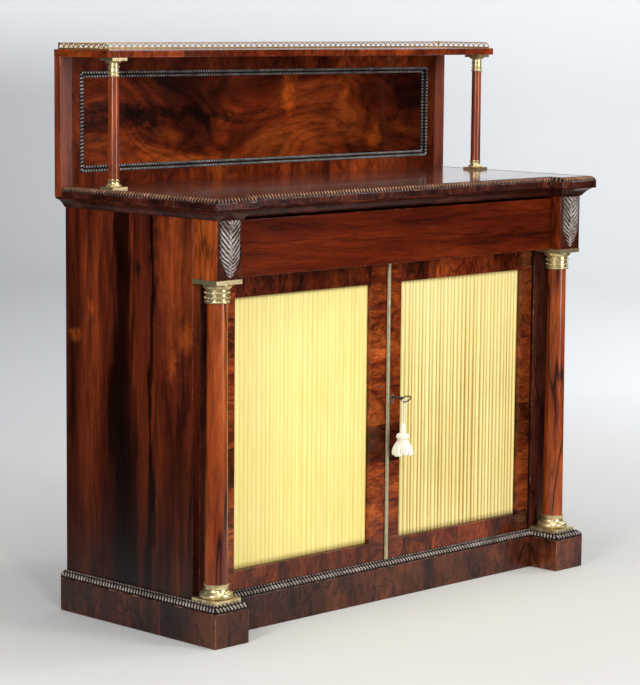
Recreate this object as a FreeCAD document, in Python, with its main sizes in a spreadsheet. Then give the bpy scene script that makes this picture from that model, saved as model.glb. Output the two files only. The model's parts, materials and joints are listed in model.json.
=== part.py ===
import FreeCAD, Part
import math
import os
import re
import Sketcher

# A breakfront chiffonier: a cupboard with two silk-panelled doors between a pair of columns,
# a frieze drawer over them, and a raised back that carries a galleried shelf on two small columns.
# X runs left to right, Y front to back and Z up. The origin is on the floor, at the middle of
# the overall width and depth. All sizes are in millimetres.

sizes = {
    # case
    "caseWidth": 1125,
    "caseDepth": 394,
    "caseTop": 879,
    "endThick": 20,
    "backThick": 10,
    "rearLap": 2,
    "stileWidth": 52.5,
    "boardThick": 18,
    "shelfHeight": 400,
    "shelfSetback": 50,
    "bearer": 20,
    # plinth
    "plinthLap": 16,
    "plinthLedge": 9.5,
    "plinthNose": 15.5,
    "plinthBoard": 22,
    "plinthBlockWidth": 93,
    "plinthFlat": 71,
    "mouldHeight": 14,
    "mouldStep": 0.5,
    "mouldRise": 1.5,
    # frieze, drawer and table top
    "columnStand": 70,
    "friezeHeight": 142,
    "friezeBlockWidth": 67,
    "frontRecess": 35,
    "railHeight": 18,
    "railSetback": 13,
    "railDepth": 64,
    "dustThick": 10,
    "topRailHeight": 22,
    "topRailDepth": 65,
    "rearRailDepth": 44,
    "topOverhang": 26,
    "corniceStep": 3,
    "corniceFillet": 4,
    "fasciaHeight": 13,
    "edgeHeight": 9,
    "edgeInset": 10,
    "edgeWidth": 18,
    "edgeStep": 1,
    "drawerGap": 1,
    "drawerFrontThick": 20,
    "drawerFrontProud": 8,
    "drawerFrontHeight": 115,
    "drawerSideThick": 12,
    "drawerSideHeight": 84,
    "drawerLength": 360,
    "drawerBottomThick": 6,
    "drawerBottomRise": 5,
    "drawerBackThick": 10,
    "drawerBackDrop": 5,
    "tailDepth": 13,
    "tailRoot": 11,
    "tailEnd": 16,
    "drawerPlay": 0.5,
    "guidePlay": 1,
    "guideWidth": 20,
    "guideHeight": 30,
    "drawerSideInset": 6.5,
    # doors
    "doorThick": 22,
    "doorGap": 1,
    "doorFoot": 2,
    "hingeStile": 42,
    "lockStile": 45.5,
    "topRail": 45,
    "bottomRail": 40,
    "tenonLength": 25,
    "tenonThick": 7,
    "tenonShoulder": 8,
    "silkDepth": 10,
    "silkThick": 3,
    "silkPlay": 0.3,
    "backingThick": 5.5,
    "pivotRadius": 3,
    "pivotLength": 12,
    "pivotPlay": 0.05,
    "pivotSpare": 1,
    "cutSpare": 1,
    "washerRadius": 8,
    "washerThick": 1.5,
    "astragalInset": 1,
    "astragalWidth": 10.5,
    "astragalProud": 4,
    "astragalTop": 2,
    # lock, key and tassel
    "keyInset": 21.3,
    "keyHeight": 441,
    "shankRadius": 2.75,
    "keyholePlay": 0.75,
    "keyholeDrop": 10.5,
    "keyholeSlot": 3.2,
    "platesThick": 0.8,
    "plateRim": 1.5,
    "keyReach": 26,
    "collarRadius": 4,
    "collarLength": 3,
    "bowRadius": 10.5,
    "bowBar": 1.5,
    "bowTilt": 30,
    "bitReach": 9,
    "bitLength": 6,
    "bitThick": 2.2,
    "lockWidth": 36,
    "lockInset": 5,
    "lockDepth": 16,
    "lockBelow": 27,
    "lockAbove": 27,
    "lockWall": 2,
    "boltRise": 11,
    "boltHeight": 9,
    "boltThick": 5,
    "boltLength": 28,
    "boltPlay": 0.3,
    "boltTravel": 8,
    "boltRearGap": 4,
    "keyTipGap": 2,
    "keepWidth": 14,
    "keepRim": 5,
    "keepGap": 1,
    "keepWall": 3,
    "rodRadius": 3,
    "rodInset": 22,
    "rodLength": 110,
    "rodTravel": 10,
    "rodStand": 0.6,
    "rodSpare": 2,
    "keeperWidth": 14,
    "keeperRim": 2,
    "keeperHeight": 6,
    "keeperSpan": 75,
    "keeperDrop": 6,
    "knobRadius": 4.5,
    "knobRise": 8,
    "knobReach": 10,
    "knobThick": 4,
    "cordRadius": 1.5,
    "cordPlay": 1,
    "cordFootSpread": 2.8,
    "cordDrop": 45.75,
    "capRadius": 6.15,
    "capLength": 21,
    "capRound": 2,
    "capWaistCut": 1,
    "ballRadius": 14.5,
    "ballLength": 17,
    "skirtRadius": 25.5,
    "skirtLength": 33.5,
    "skirtWaist": 11.5,
    "hemHeight": 7,
    # large columns
    "largeSquare": 70,
    "largeSquareHeight": 7,
    "largeTorus": 33.7,
    "largeTorusHeight": 12,
    "largeScotiaHeight": 9,
    "largeWaist": 24.5,
    "largeLip": 26.8,
    "largeLipHeight": 8.5,
    "largeCup": 3,
    "largeShaftFoot": 23.7,
    "largeShaftHead": 20.6,
    "largeRingHeight": 5,
    "largeNeck": 23.5,
    "largeNeckHeight": 28,
    "largeBead": 4,
    "largeBeadLow": 9,
    "largeBeadHigh": 19,
    "largeEchinus": 30.5,
    "largeEchinusHeight": 10,
    "largeAbacusHeight": 9,
    # small columns
    "smallSquare": 40,
    "smallSquareHeight": 5.5,
    "smallTorus": 16.4,
    "smallTorusHeight": 4.5,
    "smallScotiaHeight": 4.5,
    "smallWaist": 11.8,
    "smallLip": 13,
    "smallLipHeight": 6.5,
    "smallCup": 2,
    "smallShaftFoot": 11.5,
    "smallShaftHead": 11,
    "smallRingHeight": 4,
    "smallNeck": 11,
    "smallNeckHeight": 28,
    "smallBead": 2.4,
    "smallBeadLow": 8,
    "smallBeadHigh": 19,
    "smallEchinus": 17.5,
    "smallEchinusHeight": 5,
    "smallAbacusHeight": 6,
    "cupPlay": 0.3,
    "ringProud": 1,
    "neckFlare": 1.5,
    # carved leaves
    "leafWidth": 56,
    "leafTopGap": 1,
    "leafFoot": 5,
    "leafRelief": 4,
    "leafNotch": 3.5,
    "leafRib": 2.5,
    "leafRibWidth": 10,
    "leafGroove": 1.6,
    "leafGrooveWidth": 1.8,
    "leafGrooveGap": 1,
    "leafSweep": 9,
    "leafCurl": 4.5,
    "leafCurlWidth": 26,
    # raised back, shelf and gallery
    "backOverhang": 29,
    "backHeight": 290,
    "pilasterWidth": 32,
    "pilasterDepth": 20,
    "pilasterProud": 3.5,
    "frameStile": 24.5,
    "frameTopRail": 31,
    "frameBottomRail": 49,
    "panelThick": 7.5,
    "panelMouldWidth": 13.5,
    "panelMouldProud": 1,
    "ropeBead": 4,
    "ropeDrop": 1,
    "ropeInnerRise": 3,
    "shelfDepth": 172,
    "shelfThick": 15,
    "shelfNosing": 2,
    "smallColumnInset": 32.5,
    "smallColumnSetback": 22,
    "galleryInset": 7,
    "galleryRearInset": 5,
    "galleryHeight": 14,
    "galleryRail": 3.3,
    "galleryBar": 1.7,
    "galleryThick": 1.2,
    "galleryPitch": 16.7,
}

# Places worked out from the sizes.
places = {
    "caseHalf": "caseWidth / 2",
    "caseInner": "caseHalf - endThick",
    "rearY": "(rearLap + caseDepth + columnStand + topOverhang) / 2",
    "caseRear": "rearY - rearLap",
    "caseFront": "caseRear - caseDepth",
    "backFace": "caseRear - backThick",
    "blockFront": "caseFront - columnStand",
    "blockInner": "caseHalf - friezeBlockWidth",
    "friezeFront": "blockFront + frontRecess",
    "plinthTop": "plinthFlat + mouldHeight",
    "plinthHalf": "caseHalf + plinthLap",
    "plinthInner": "plinthHalf - plinthBlockWidth",
    "plinthFront": "caseFront - plinthLedge",
    "plinthBlockFront": "blockFront - plinthNose",
    "friezeFoot": "caseTop - friezeHeight",
    "railTop": "friezeFoot + railHeight",
    "stileInner": "caseInner - stileWidth",
    "topRailFoot": "caseTop - topRailHeight",
    "leafTop": "topRailFoot - leafTopGap",
    "leafHeight": "leafTop - friezeFoot - leafFoot",
    "columnX": "caseHalf - friezeBlockWidth / 2",
    "columnY": "caseFront - columnStand / 2",
    "topHalf": "caseHalf + topOverhang",
    "topFront": "blockFront - topOverhang",
    "topMiddle": "friezeFront - topOverhang",
    "topBlockInner": "blockInner - topOverhang",
    "fasciaTop": "caseTop + fasciaHeight",
    "tableTop": "fasciaTop + edgeHeight",
    "drawerFace": "friezeFront - drawerFrontProud",
    "drawerBackOfFront": "drawerFace + drawerFrontThick",
    "railFront": "friezeFront + railSetback",
    "railRear": "railFront + railDepth",
    "drawerHalf": "blockInner - drawerSideInset - drawerGap",
    "drawerInner": "drawerHalf - drawerSideThick",
    "drawerFoot": "railTop + drawerPlay",
    "drawerFloor": "drawerFoot + drawerBottomRise",
    "drawerFloorTop": "drawerFloor + drawerBottomThick",
    "drawerRear": "drawerBackOfFront + drawerLength",
    "doorBack": "caseFront + doorThick",
    "doorMiddle": "caseFront + doorThick / 2",
    "doorEdge": "stileInner - doorGap",
    "pivotX": "doorEdge - doorThick / 2",
    "doorLow": "plinthTop + doorFoot",
    "doorHigh": "friezeFoot - doorFoot",
    "openingInner": "doorGap + lockStile",
    "openingOuter": "doorEdge - hingeStile",
    "openingLow": "doorLow + bottomRail",
    "openingHigh": "doorHigh - topRail",
    "silkFront": "caseFront + silkDepth",
    "silkBack": "silkFront + silkThick",
    "backingFront": "silkBack + silkPlay",
    "backingBack": "backingFront + backingThick",
    "keyholeRadius": "shankRadius + keyholePlay",
    "collarY": "caseFront - keyReach",
    "bowY": "collarY - collarLength - bowRadius - bowBar",
    "lockX": "doorGap + lockInset",
    "boltLow": "keyHeight + boltRise",
    "boltBack": "doorBack + lockDepth - lockWall - boltRearGap",
    "keyTip": "doorBack + lockDepth - lockWall - keyTipGap",
    "boltFront": "boltBack - boltThick",
    "rodY": "doorBack + rodStand + rodRadius",
    "rodTop": "doorHigh",
    "loopRadius": "bowBar + cordRadius + cordPlay",
    "capTop": "tasselZ - cordDrop",
    "capFoot": "capTop - capLength",
    "ballFoot": "capFoot - ballLength",
    "skirtFoot": "ballFoot - skirtLength",
    "tasselX": "keyInset - bowRadius * cos(bowTilt * 1 deg)",
    "tasselZ": "keyHeight - bowRadius * sin(bowTilt * 1 deg)",
    "backHalf": "caseHalf + backOverhang",
    "backTop": "caseTop + backHeight",
    "pilasterFront": "caseRear - pilasterDepth",
    "frameFront": "pilasterFront + pilasterProud",
    "pilasterInner": "backHalf - pilasterWidth",
    "panelHalf": "pilasterInner - frameStile",
    "panelLow": "caseTop + frameBottomRail",
    "panelHigh": "backTop - frameTopRail",
    "panelFace": "caseRear - panelThick",
    "shelfFront": "caseRear - shelfDepth",
    "shelfTop": "backTop + shelfThick",
    "smallX": "backHalf - smallColumnInset",
    "smallY": "shelfFront + smallColumnSetback",
}

doc = FreeCAD.newDocument("Chiffonier")
sheet = doc.addObject("Spreadsheet::Sheet", "Sizes")
for row, (alias, size) in enumerate(sizes.items(), start=1):
    sheet.set(f"A{row}", alias)
    sheet.set(f"B{row}", str(size))
    sheet.setAlias(f"B{row}", alias)
doc.recompute()

nodes = []


def bound(formula):
    # the formula with each size as a cell of the sheet and each place written out
    def written(match):
        word = match.group()
        if word in sizes:
            return "Sizes." + word
        if word in places:
            return "(" + bound(places[word]) + ")"
        return word
    return re.sub(r"[A-Za-z][A-Za-z0-9]*", written, str(formula))


def number(formula):
    return float(sheet.evalExpression(bound(formula)))


def keep(piece, label):
    piece.Label = label
    nodes.append(piece)
    return piece


def board(label, spanX, spanY, spanZ):
    piece = doc.addObject("Part::Box", label)
    for side, axis, (low, high) in (
        ("Length", "x", spanX),
        ("Width", "y", spanY),
        ("Height", "z", spanZ),
    ):
        piece.setExpression(side, bound(f"({high}) - ({low})"))
        piece.setExpression("Placement.Base." + axis, bound(low))
    return piece


def rod(label, centre, radius, length, direction):
    piece = doc.addObject("Part::Cylinder", label)
    piece.setExpression("Radius", bound(radius))
    piece.setExpression("Height", bound(length))
    turn = FreeCAD.Rotation(FreeCAD.Vector(0, 0, 1), FreeCAD.Vector(*direction))
    piece.Placement = FreeCAD.Placement(FreeCAD.Vector(), turn)
    for axis, place in zip("xyz", centre):
        piece.setExpression("Placement.Base." + axis, bound(place))
    return piece


def together(label, pieces):
    group = doc.addObject("Part::Compound", label)
    group.Links = pieces
    return group


def joined(label, pieces):
    fused = doc.addObject("Part::MultiFuse", label)
    fused.Shapes = pieces
    fused.Refine = True
    return fused


def without(label, base, tools):
    result = doc.addObject("Part::Cut", label)
    result.Base = base
    result.Tool = tools[0] if len(tools) == 1 else together(label + "_tools", tools)
    result.Refine = True
    return result


def across(sign, near, far):
    # the span from near to far, counted outward from the middle, on the side that sign names
    if sign > 0:
        return near, far
    return f"-({far})", f"-({near})"


def flipped(sign, outline):
    # an outline of (u, v) or (u, v, bulge) points, mirrored in u on the left side
    if sign > 0:
        return outline
    return [(f"-({point[0]})", point[1], *[-bulge for bulge in point[2:]]) for point in outline]


def drawOutline(sketch, outline, closed=True):
    # Each point is (u, v) or (u, v, bulge). The bulge makes an arc of the side that leaves the
    # point: it is the arc's rise over half its chord, positive when the arc runs anticlockwise.
    spots = [FreeCAD.Vector(number(point[0]), number(point[1]), 0) for point in outline]
    count = len(outline)
    sides = count if closed else count - 1
    ends = []
    for index in range(sides):
        start, end = spots[index], spots[(index + 1) % count]
        bulge = outline[index][2] if len(outline[index]) > 2 else 0
        chord = end - start
        if bulge == 0:
            sketch.addGeometry(Part.LineSegment(start, end))
            ends.append((1, 2))
            continue
        middle = (start + end) * 0.5 + FreeCAD.Vector(chord.y, -chord.x, 0) * 0.5 * bulge
        if bulge > 0:
            sketch.addGeometry(Part.Arc(start, middle, end))
            ends.append((1, 2))
        else:
            sketch.addGeometry(Part.Arc(end, middle, start))
            ends.append((2, 1))

    def tie(kind, *values):
        return sketch.addConstraint(Sketcher.Constraint(kind, *values))

    for index in range(count):
        side, end = (index, ends[index][0]) if index < sides else (index - 1, ends[index - 1][1])
        if index > 0 or closed:
            before = (index - 1) % count
            if before != side:
                tie("Coincident", before, ends[before][1], side, end)
        for kind, place, spot in (
            ("DistanceX", outline[index][0], spots[index].x),
            ("DistanceY", outline[index][1], spots[index].y),
        ):
            entry = tie(kind, -1, 1, side, end, spot)
            sketch.setExpression(f"Constraints[{entry}]", bound(place))
    for index in range(sides):
        bulge = outline[index][2] if len(outline[index]) > 2 else 0
        if bulge:
            following = outline[(index + 1) % count]
            share = (1 + bulge ** 2) / (4 * abs(bulge))
            run = f"(({following[0]}) - ({outline[index][0]}))^2"
            rise = f"(({following[1]}) - ({outline[index][1]}))^2"
            radius = f"sqrt({run} + {rise}) * {share}"
            entry = tie("Radius", index, number(radius))
            sketch.setExpression(f"Constraints[{entry}]", bound(radius))


def newBody(label):
    return doc.addObject("PartDesign::Body", label)


def sketchOn(body, plane, outline, offset="0"):
    # XY looks down on the piece, XZ is its front (its pads run forward), YZ its side
    sketch = body.newObject("Sketcher::SketchObject", body.Name + "_sketch")
    support = [item for item in body.Origin.OriginFeatures if item.Role == plane][0]
    sketch.AttachmentSupport = [(support, "")]
    sketch.MapMode = "FlatFace"
    sketch.setExpression("AttachmentOffset.Base.z", bound(offset))
    drawOutline(sketch, outline)
    return sketch


def addPad(body, plane, outline, offset, length):
    pad = body.newObject("PartDesign::Pad", body.Name + "_pad")
    pad.Profile = sketchOn(body, plane, outline, offset)
    pad.setExpression("Length", bound(length))
    body.Tip = pad
    return pad


def addPocket(body, plane, outline, offset, length):
    pocket = body.newObject("PartDesign::Pocket", body.Name + "_pocket")
    pocket.Profile = sketchOn(body, plane, outline, offset)
    pocket.setExpression("Length", bound(length))
    body.Tip = pocket
    return pocket


def addTurning(body, outline):
    turning = body.newObject("PartDesign::Revolution", body.Name + "_turning")
    sketch = sketchOn(body, "XZ_Plane", outline)
    turning.Profile = sketch
    turning.ReferenceAxis = (sketch, ["V_Axis"])
    turning.Angle = 360
    body.Tip = turning
    return turning


def standAt(piece, x, y, z="0"):
    for axis, place in zip("xyz", (x, y, z)):
        piece.setExpression("Placement.Base." + axis, bound(place))
    return piece


def rectangle(spanU, spanV):
    (left, right), (low, high) = spanU, spanV
    return [(left, low), (right, low), (right, high), (left, high)]


def swept(label, route, level, section, sectionPlace, closed=False, upright=False):
    # a moulding whose section follows a route with mitred corners. The route lies flat at the
    # level, or stands upright facing the front; the section stands square to its first run.
    path = doc.addObject("Sketcher::SketchObject", label + "_route")
    drawOutline(path, route, closed)
    profile = doc.addObject("Sketcher::SketchObject", label + "_section")
    drawOutline(profile, section)
    facing = FreeCAD.Rotation(FreeCAD.Vector(1, 0, 0), 90)
    if upright:
        path.Placement = FreeCAD.Placement(FreeCAD.Vector(), facing)
        path.setExpression("Placement.Base.y", bound(level))
    else:
        profile.Placement = FreeCAD.Placement(FreeCAD.Vector(), facing)
        path.setExpression("Placement.Base.z", bound(level))
    standAt(profile, *sectionPlace)
    moulding = doc.addObject("Part::Sweep", label)
    moulding.Sections = [profile]
    moulding.Spine = (path, [f"Edge{index + 1}" for index in range(len(route) - (not closed))])
    moulding.Solid = True
    moulding.Transition = "Right corner"
    return moulding


def breakfront(half, rear, front, blockInner, middle):
    # the plan of a case whose two ends stand forward of its middle, from rear left to rear right
    return [
        (f"-({half})", rear),
        (f"-({half})", front),
        (f"-({blockInner})", front),
        (f"-({blockInner})", middle),
        (blockInner, middle),
        (blockInner, front),
        (half, front),
        (half, rear),
    ]


# ---- plinth ----

def makePlinth():
    plinthBack = "plinthFront + plinthBoard"
    keep(board("plinth_front", ("-(plinthInner)", "plinthInner"), ("plinthFront", plinthBack),
               ("0", "plinthFlat")), "plinth_front_board")

    boards = [board("plinth_rear", ("plinthBoard - plinthHalf", "plinthHalf - plinthBoard"),
                    ("rearY - plinthBoard", "rearY"), ("0", "plinthFlat"))]
    blocks = []
    for side, sign in (("left", -1), ("right", 1)):
        boards.append(board(f"plinth_{side}", across(sign, "plinthHalf - plinthBoard", "plinthHalf"),
                            (plinthBack, "rearY"), ("0", "plinthFlat")))
        # each block is cut back at the top for the moulding that wraps it
        block = newBody(f"{side}_plinth_block")
        addPad(block, "XY_Plane", rectangle(across(sign, "plinthInner", "plinthHalf"),
                                            ("plinthBlockFront", plinthBack)), "0", "plinthFlat")
        core = across(sign, "plinthInner + plinthLap", "caseHalf")
        addPad(block, "XY_Plane", rectangle(core, ("plinthBlockFront + plinthLap",
                                                   "plinthFront + plinthLap")),
               "plinthFlat", "mouldHeight")
        blocks.append(block)
    keep(together("plinth_side_boards", boards), "plinth_boards")
    keep(together("plinth_block_pair", blocks), "plinth_blocks")

    # a quarter round whose flat top runs in under the case and the doors
    section = [
        ("mouldStep", "0"),
        ("mouldStep", "mouldRise", -0.38),
        ("mouldHeight", "mouldHeight"),
        ("plinthLap", "mouldHeight"),
        ("plinthLap", "0"),
    ]
    keep(swept("plinth_mould", breakfront("plinthHalf", "rearY", "plinthBlockFront", "plinthInner",
                                          "plinthFront"),
               "plinthFlat", section, ("-(plinthHalf)", "rearY", "plinthFlat")), "plinth_moulding")


# ---- case ----

def makeCase():
    keep(board("bottom", ("-(caseHalf)", "caseHalf"), ("plinthFront + plinthLap", "caseRear"),
               ("plinthFlat", "plinthTop")), "bottom_board")
    keep(board("back", ("-(caseInner)", "caseInner"), ("backFace", "caseRear"),
               ("plinthTop", "caseTop")), "back_panel")
    stiles = []
    bearers = []
    for side, sign in (("left", -1), ("right", 1)):
        keep(board(f"{side}_end", across(sign, "caseInner", "caseHalf"), ("caseFront", "caseRear"),
                   ("plinthTop", "caseTop")), f"{side}_end_panel")
        stiles.append(board(f"{side}_front_stile", across(sign, "stileInner", "caseInner"),
                            ("caseFront", "doorBack"), ("plinthTop", "friezeFoot")))
        bearers.append(board(f"{side}_bearer", across(sign, "caseInner - bearer", "caseInner"),
                             ("caseFront + shelfSetback", "backFace"),
                             ("shelfHeight - bearer", "shelfHeight")))
    keep(together("front_stile_pair", stiles), "front_stiles")
    keep(together("bearer_pair", bearers), "shelf_bearers")
    keep(board("shelf", ("-(caseInner)", "caseInner"), ("caseFront + shelfSetback", "backFace"),
               ("shelfHeight", "shelfHeight + boardThick")), "cupboard_shelf")

    # the rail over the doors stands forward between the frieze blocks
    rail = newBody("rail_over_doors")
    addPad(rail, "XY_Plane", railPlan("railFront", "railRear"), "friezeFoot", "railHeight")
    holes = [rod("rod_socket", ("-(rodInset)", "rodY", "friezeFoot"), "rodRadius + boltPlay",
                 "rodTravel + rodSpare", (0, 0, 1))]
    keep(without("rail_with_socket", rail, holes), "drawer_rail")
    keep(board("dust", ("-(caseInner)", "caseInner"), ("railRear", "backFace"),
               ("railTop - dustThick", "railTop")), "dust_board")
    guides = [
        board(f"{side}_guide", across(sign, "drawerHalf + guidePlay", "drawerHalf + guidePlay + guideWidth"),
              ("caseFront", "backFace"), ("railTop", "railTop + guideHeight"))
        for side, sign in (("left", -1), ("right", 1))
    ]
    keep(together("guide_pair", guides), "drawer_guides")

    front = newBody("top_front_rail")
    addPad(front, "XY_Plane", railPlan("friezeFront", "friezeFront + topRailDepth"),
           "topRailFoot", "topRailHeight")
    rear = board("top_rear_rail", ("-(caseInner)", "caseInner"),
                 ("backFace - rearRailDepth", "backFace"), ("topRailFoot", "caseTop"))
    keep(together("top_rail_pair", [front, rear]), "top_rails")


def railPlan(front, rear):
    # a rail that is narrower where it stands forward between the frieze blocks
    return [
        ("-(blockInner)", front),
        ("blockInner", front),
        ("blockInner", "caseFront"),
        ("caseInner", "caseFront"),
        ("caseInner", rear),
        ("-(caseInner)", rear),
        ("-(caseInner)", "caseFront"),
        ("-(blockInner)", "caseFront"),
    ]


# ---- frieze blocks with their carved leaves ----

leafLobes = 7
leafFullAt = 0.36
leafLobeBulge = 0.3


def lobeEdge(lobe):
    # how wide and how high the leaf is at the end of a lobe, counted up from its foot
    share = lobe / leafLobes
    spread = round(min(1, share / leafFullAt) ** 0.6, 4)
    return f"leafWidth / 2 * {spread}", f"-(leafHeight) * {round(1 - share, 4)}"


def leafOutline():
    # lobes that sweep up and outward from a point at the foot, each cut in where the next begins
    right = [("0", "-(leafHeight)", leafLobeBulge)]
    left = []
    for lobe in range(1, leafLobes + 1):
        tip, level = lobeEdge(lobe)
        right.append((tip, level))
        left.append((f"-({tip})", level, leafLobeBulge))
        if lobe < leafLobes:
            right.append((f"{tip} - leafNotch", level, leafLobeBulge))
            left.append((f"leafNotch - {tip}", level))
    return right + left[::-1]


def makeLeaf(side, sign):
    leaf = newBody(f"{side}_leaf")
    addPad(leaf, "XZ_Plane", leafOutline(), "0", "leafRelief")
    for lobe in range(1, leafLobes):
        # a groove runs up from beside the rib to each notch
        tip, level = lobeEdge(lobe)
        outer = f"{tip} - leafNotch - leafGrooveGap"
        groove = [
            ("leafRibWidth / 2 + leafGrooveGap", f"{level} - leafSweep"),
            (outer, f"{level} - leafGrooveWidth"),
            (outer, level),
        ]
        for half in (-1, 1):
            addPocket(leaf, "XZ_Plane", flipped(half, groove), "leafRelief", "leafGroove")
    rib = [
        ("0", "-(leafHeight) * 0.97"),
        ("leafRibWidth / 2", "-(leafHeight) * 0.55"),
        ("leafRibWidth / 4", "-leafCurl"),
        ("-leafRibWidth / 4", "-leafCurl"),
        ("-leafRibWidth / 2", "-(leafHeight) * 0.55"),
    ]
    addPad(leaf, "XZ_Plane", rib, "leafRelief", "leafRib")
    standAt(leaf, f"{sign} * (columnX)", "blockFront", "leafTop")
    # the tip of the leaf rolls over forward
    curl = rod(f"{side}_leaf_tip", (f"{sign} * (columnX) - leafCurlWidth / 2", "blockFront - leafCurl",
                                    "leafTop - leafCurl"), "leafCurl", "leafCurlWidth", (1, 0, 0))
    keep(joined(f"{side}_leaf_whole", [leaf, curl]), f"{side}_acanthus_leaf")


def makeFriezeBlocks():
    for side, sign in (("left", -1), ("right", 1)):
        keep(board(f"{side}_block", across(sign, "blockInner", "caseHalf"), ("blockFront", "caseFront"),
                   ("friezeFoot", "caseTop")), f"{side}_frieze_block")
        makeLeaf(side, sign)


# ---- table top ----

def makeTop():
    # an ovolo under the top follows the breakfront of the frieze
    section = [
        ("0", "0"),
        ("-corniceStep", "0", 0.16),
        ("corniceFillet - topOverhang", "topRailHeight - corniceFillet"),
        ("-topOverhang", "topRailHeight - corniceFillet"),
        ("-topOverhang", "topRailHeight"),
        ("0", "topRailHeight"),
    ]
    keep(swept("cornice", breakfront("caseHalf", "caseRear", "blockFront", "blockInner", "friezeFront"),
               "topRailFoot", section, ("-(caseHalf)", "caseRear", "topRailFoot")), "cornice_moulding")

    top = newBody("top_board")
    notch = [("pilasterInner", "pilasterFront"), ("pilasterInner", "frameFront")]
    fascia = breakfront("topHalf", "pilasterFront", "topFront", "topBlockInner", "topMiddle")
    addPad(top, "XY_Plane", fascia + notch + [("-(pilasterInner)", "frameFront"),
                                              ("-(pilasterInner)", "pilasterFront")],
           "caseTop", "fasciaHeight")
    field = breakfront("topHalf - edgeWidth", "pilasterFront", "topFront + edgeWidth",
                       "topBlockInner + edgeWidth", "topMiddle + edgeWidth")
    addPad(top, "XY_Plane", field + notch + [("-(pilasterInner)", "frameFront"),
                                             ("-(pilasterInner)", "pilasterFront")],
           "fasciaTop", "edgeHeight")
    keep(top, "table_top")

    edge = [
        ("edgeStep", "0"),
        ("edgeStep", "edgeStep", -0.3),
        ("edgeInset", "edgeHeight"),
        ("edgeWidth", "edgeHeight"),
        ("edgeWidth", "0"),
    ]
    keep(swept("top_edge", fascia, "fasciaTop", edge, ("-(topHalf)", "pilasterFront", "fasciaTop")),
         "top_edge_moulding")


# ---- drawer ----

tailCount = 4


def drawerSidePlan():
    # the side of the drawer, with dovetails that widen into the back of its front
    outline = [
        ("drawerRear", "drawerFoot"),
        ("drawerRear", "drawerFoot + drawerSideHeight"),
        ("drawerBackOfFront", "drawerFoot + drawerSideHeight"),
    ]
    for tail in reversed(range(tailCount)):
        middle = f"drawerFoot + drawerSideHeight * {(tail + 0.5) / tailCount}"
        outline += [
            ("drawerBackOfFront", f"{middle} + tailRoot / 2"),
            ("drawerBackOfFront - tailDepth", f"{middle} + tailEnd / 2"),
            ("drawerBackOfFront - tailDepth", f"{middle} - tailEnd / 2"),
            ("drawerBackOfFront", f"{middle} - tailRoot / 2"),
        ]
    return outline + [("drawerBackOfFront", "drawerFoot")]


def makeDrawer():
    faceHalf = "blockInner - drawerGap"
    face = board("drawer_face", (f"-({faceHalf})", faceHalf), ("drawerFace", "drawerBackOfFront"),
                 ("friezeFoot", "friezeFoot + drawerFrontHeight"))
    sides = []
    for side, near in (("left", "-(drawerHalf)"), ("right", "drawerInner")):
        tailed = newBody(f"{side}_drawer_side")
        addPad(tailed, "YZ_Plane", drawerSidePlan(), near, "drawerSideThick")
        sides.append(tailed)
    keep(without("drawer_face_sockets", face, sides), "drawer_front")
    keep(together("drawer_side_pair", sides), "drawer_sides")
    inside = ("-(drawerInner)", "drawerInner")
    keep(board("drawer_floor", inside, ("drawerBackOfFront", "drawerRear"),
               ("drawerFloor", "drawerFloorTop")), "drawer_bottom")
    keep(board("drawer_rear", inside, ("drawerRear - drawerBackThick", "drawerRear"),
               ("drawerFloorTop", "drawerFoot + drawerSideHeight - drawerBackDrop")), "drawer_back")


# ---- doors ----

quarter = math.tan(math.pi / 8)


def keyholeTools(label, front, thick):
    # a round hole with a slot under it, cut right through from the front
    near, far = f"{front} - cutSpare", f"{front} + {thick} + cutSpare"
    hole = rod(label + "_round", ("keyInset", far, "keyHeight"), "keyholeRadius", f"{thick} + 2 * cutSpare",
               (0, -1, 0))
    slot = board(label + "_slot", ("keyInset - keyholeSlot / 2", "keyInset + keyholeSlot / 2"), (near, far),
                 ("keyHeight - keyholeDrop", "keyHeight"))
    return [hole, slot]


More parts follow.
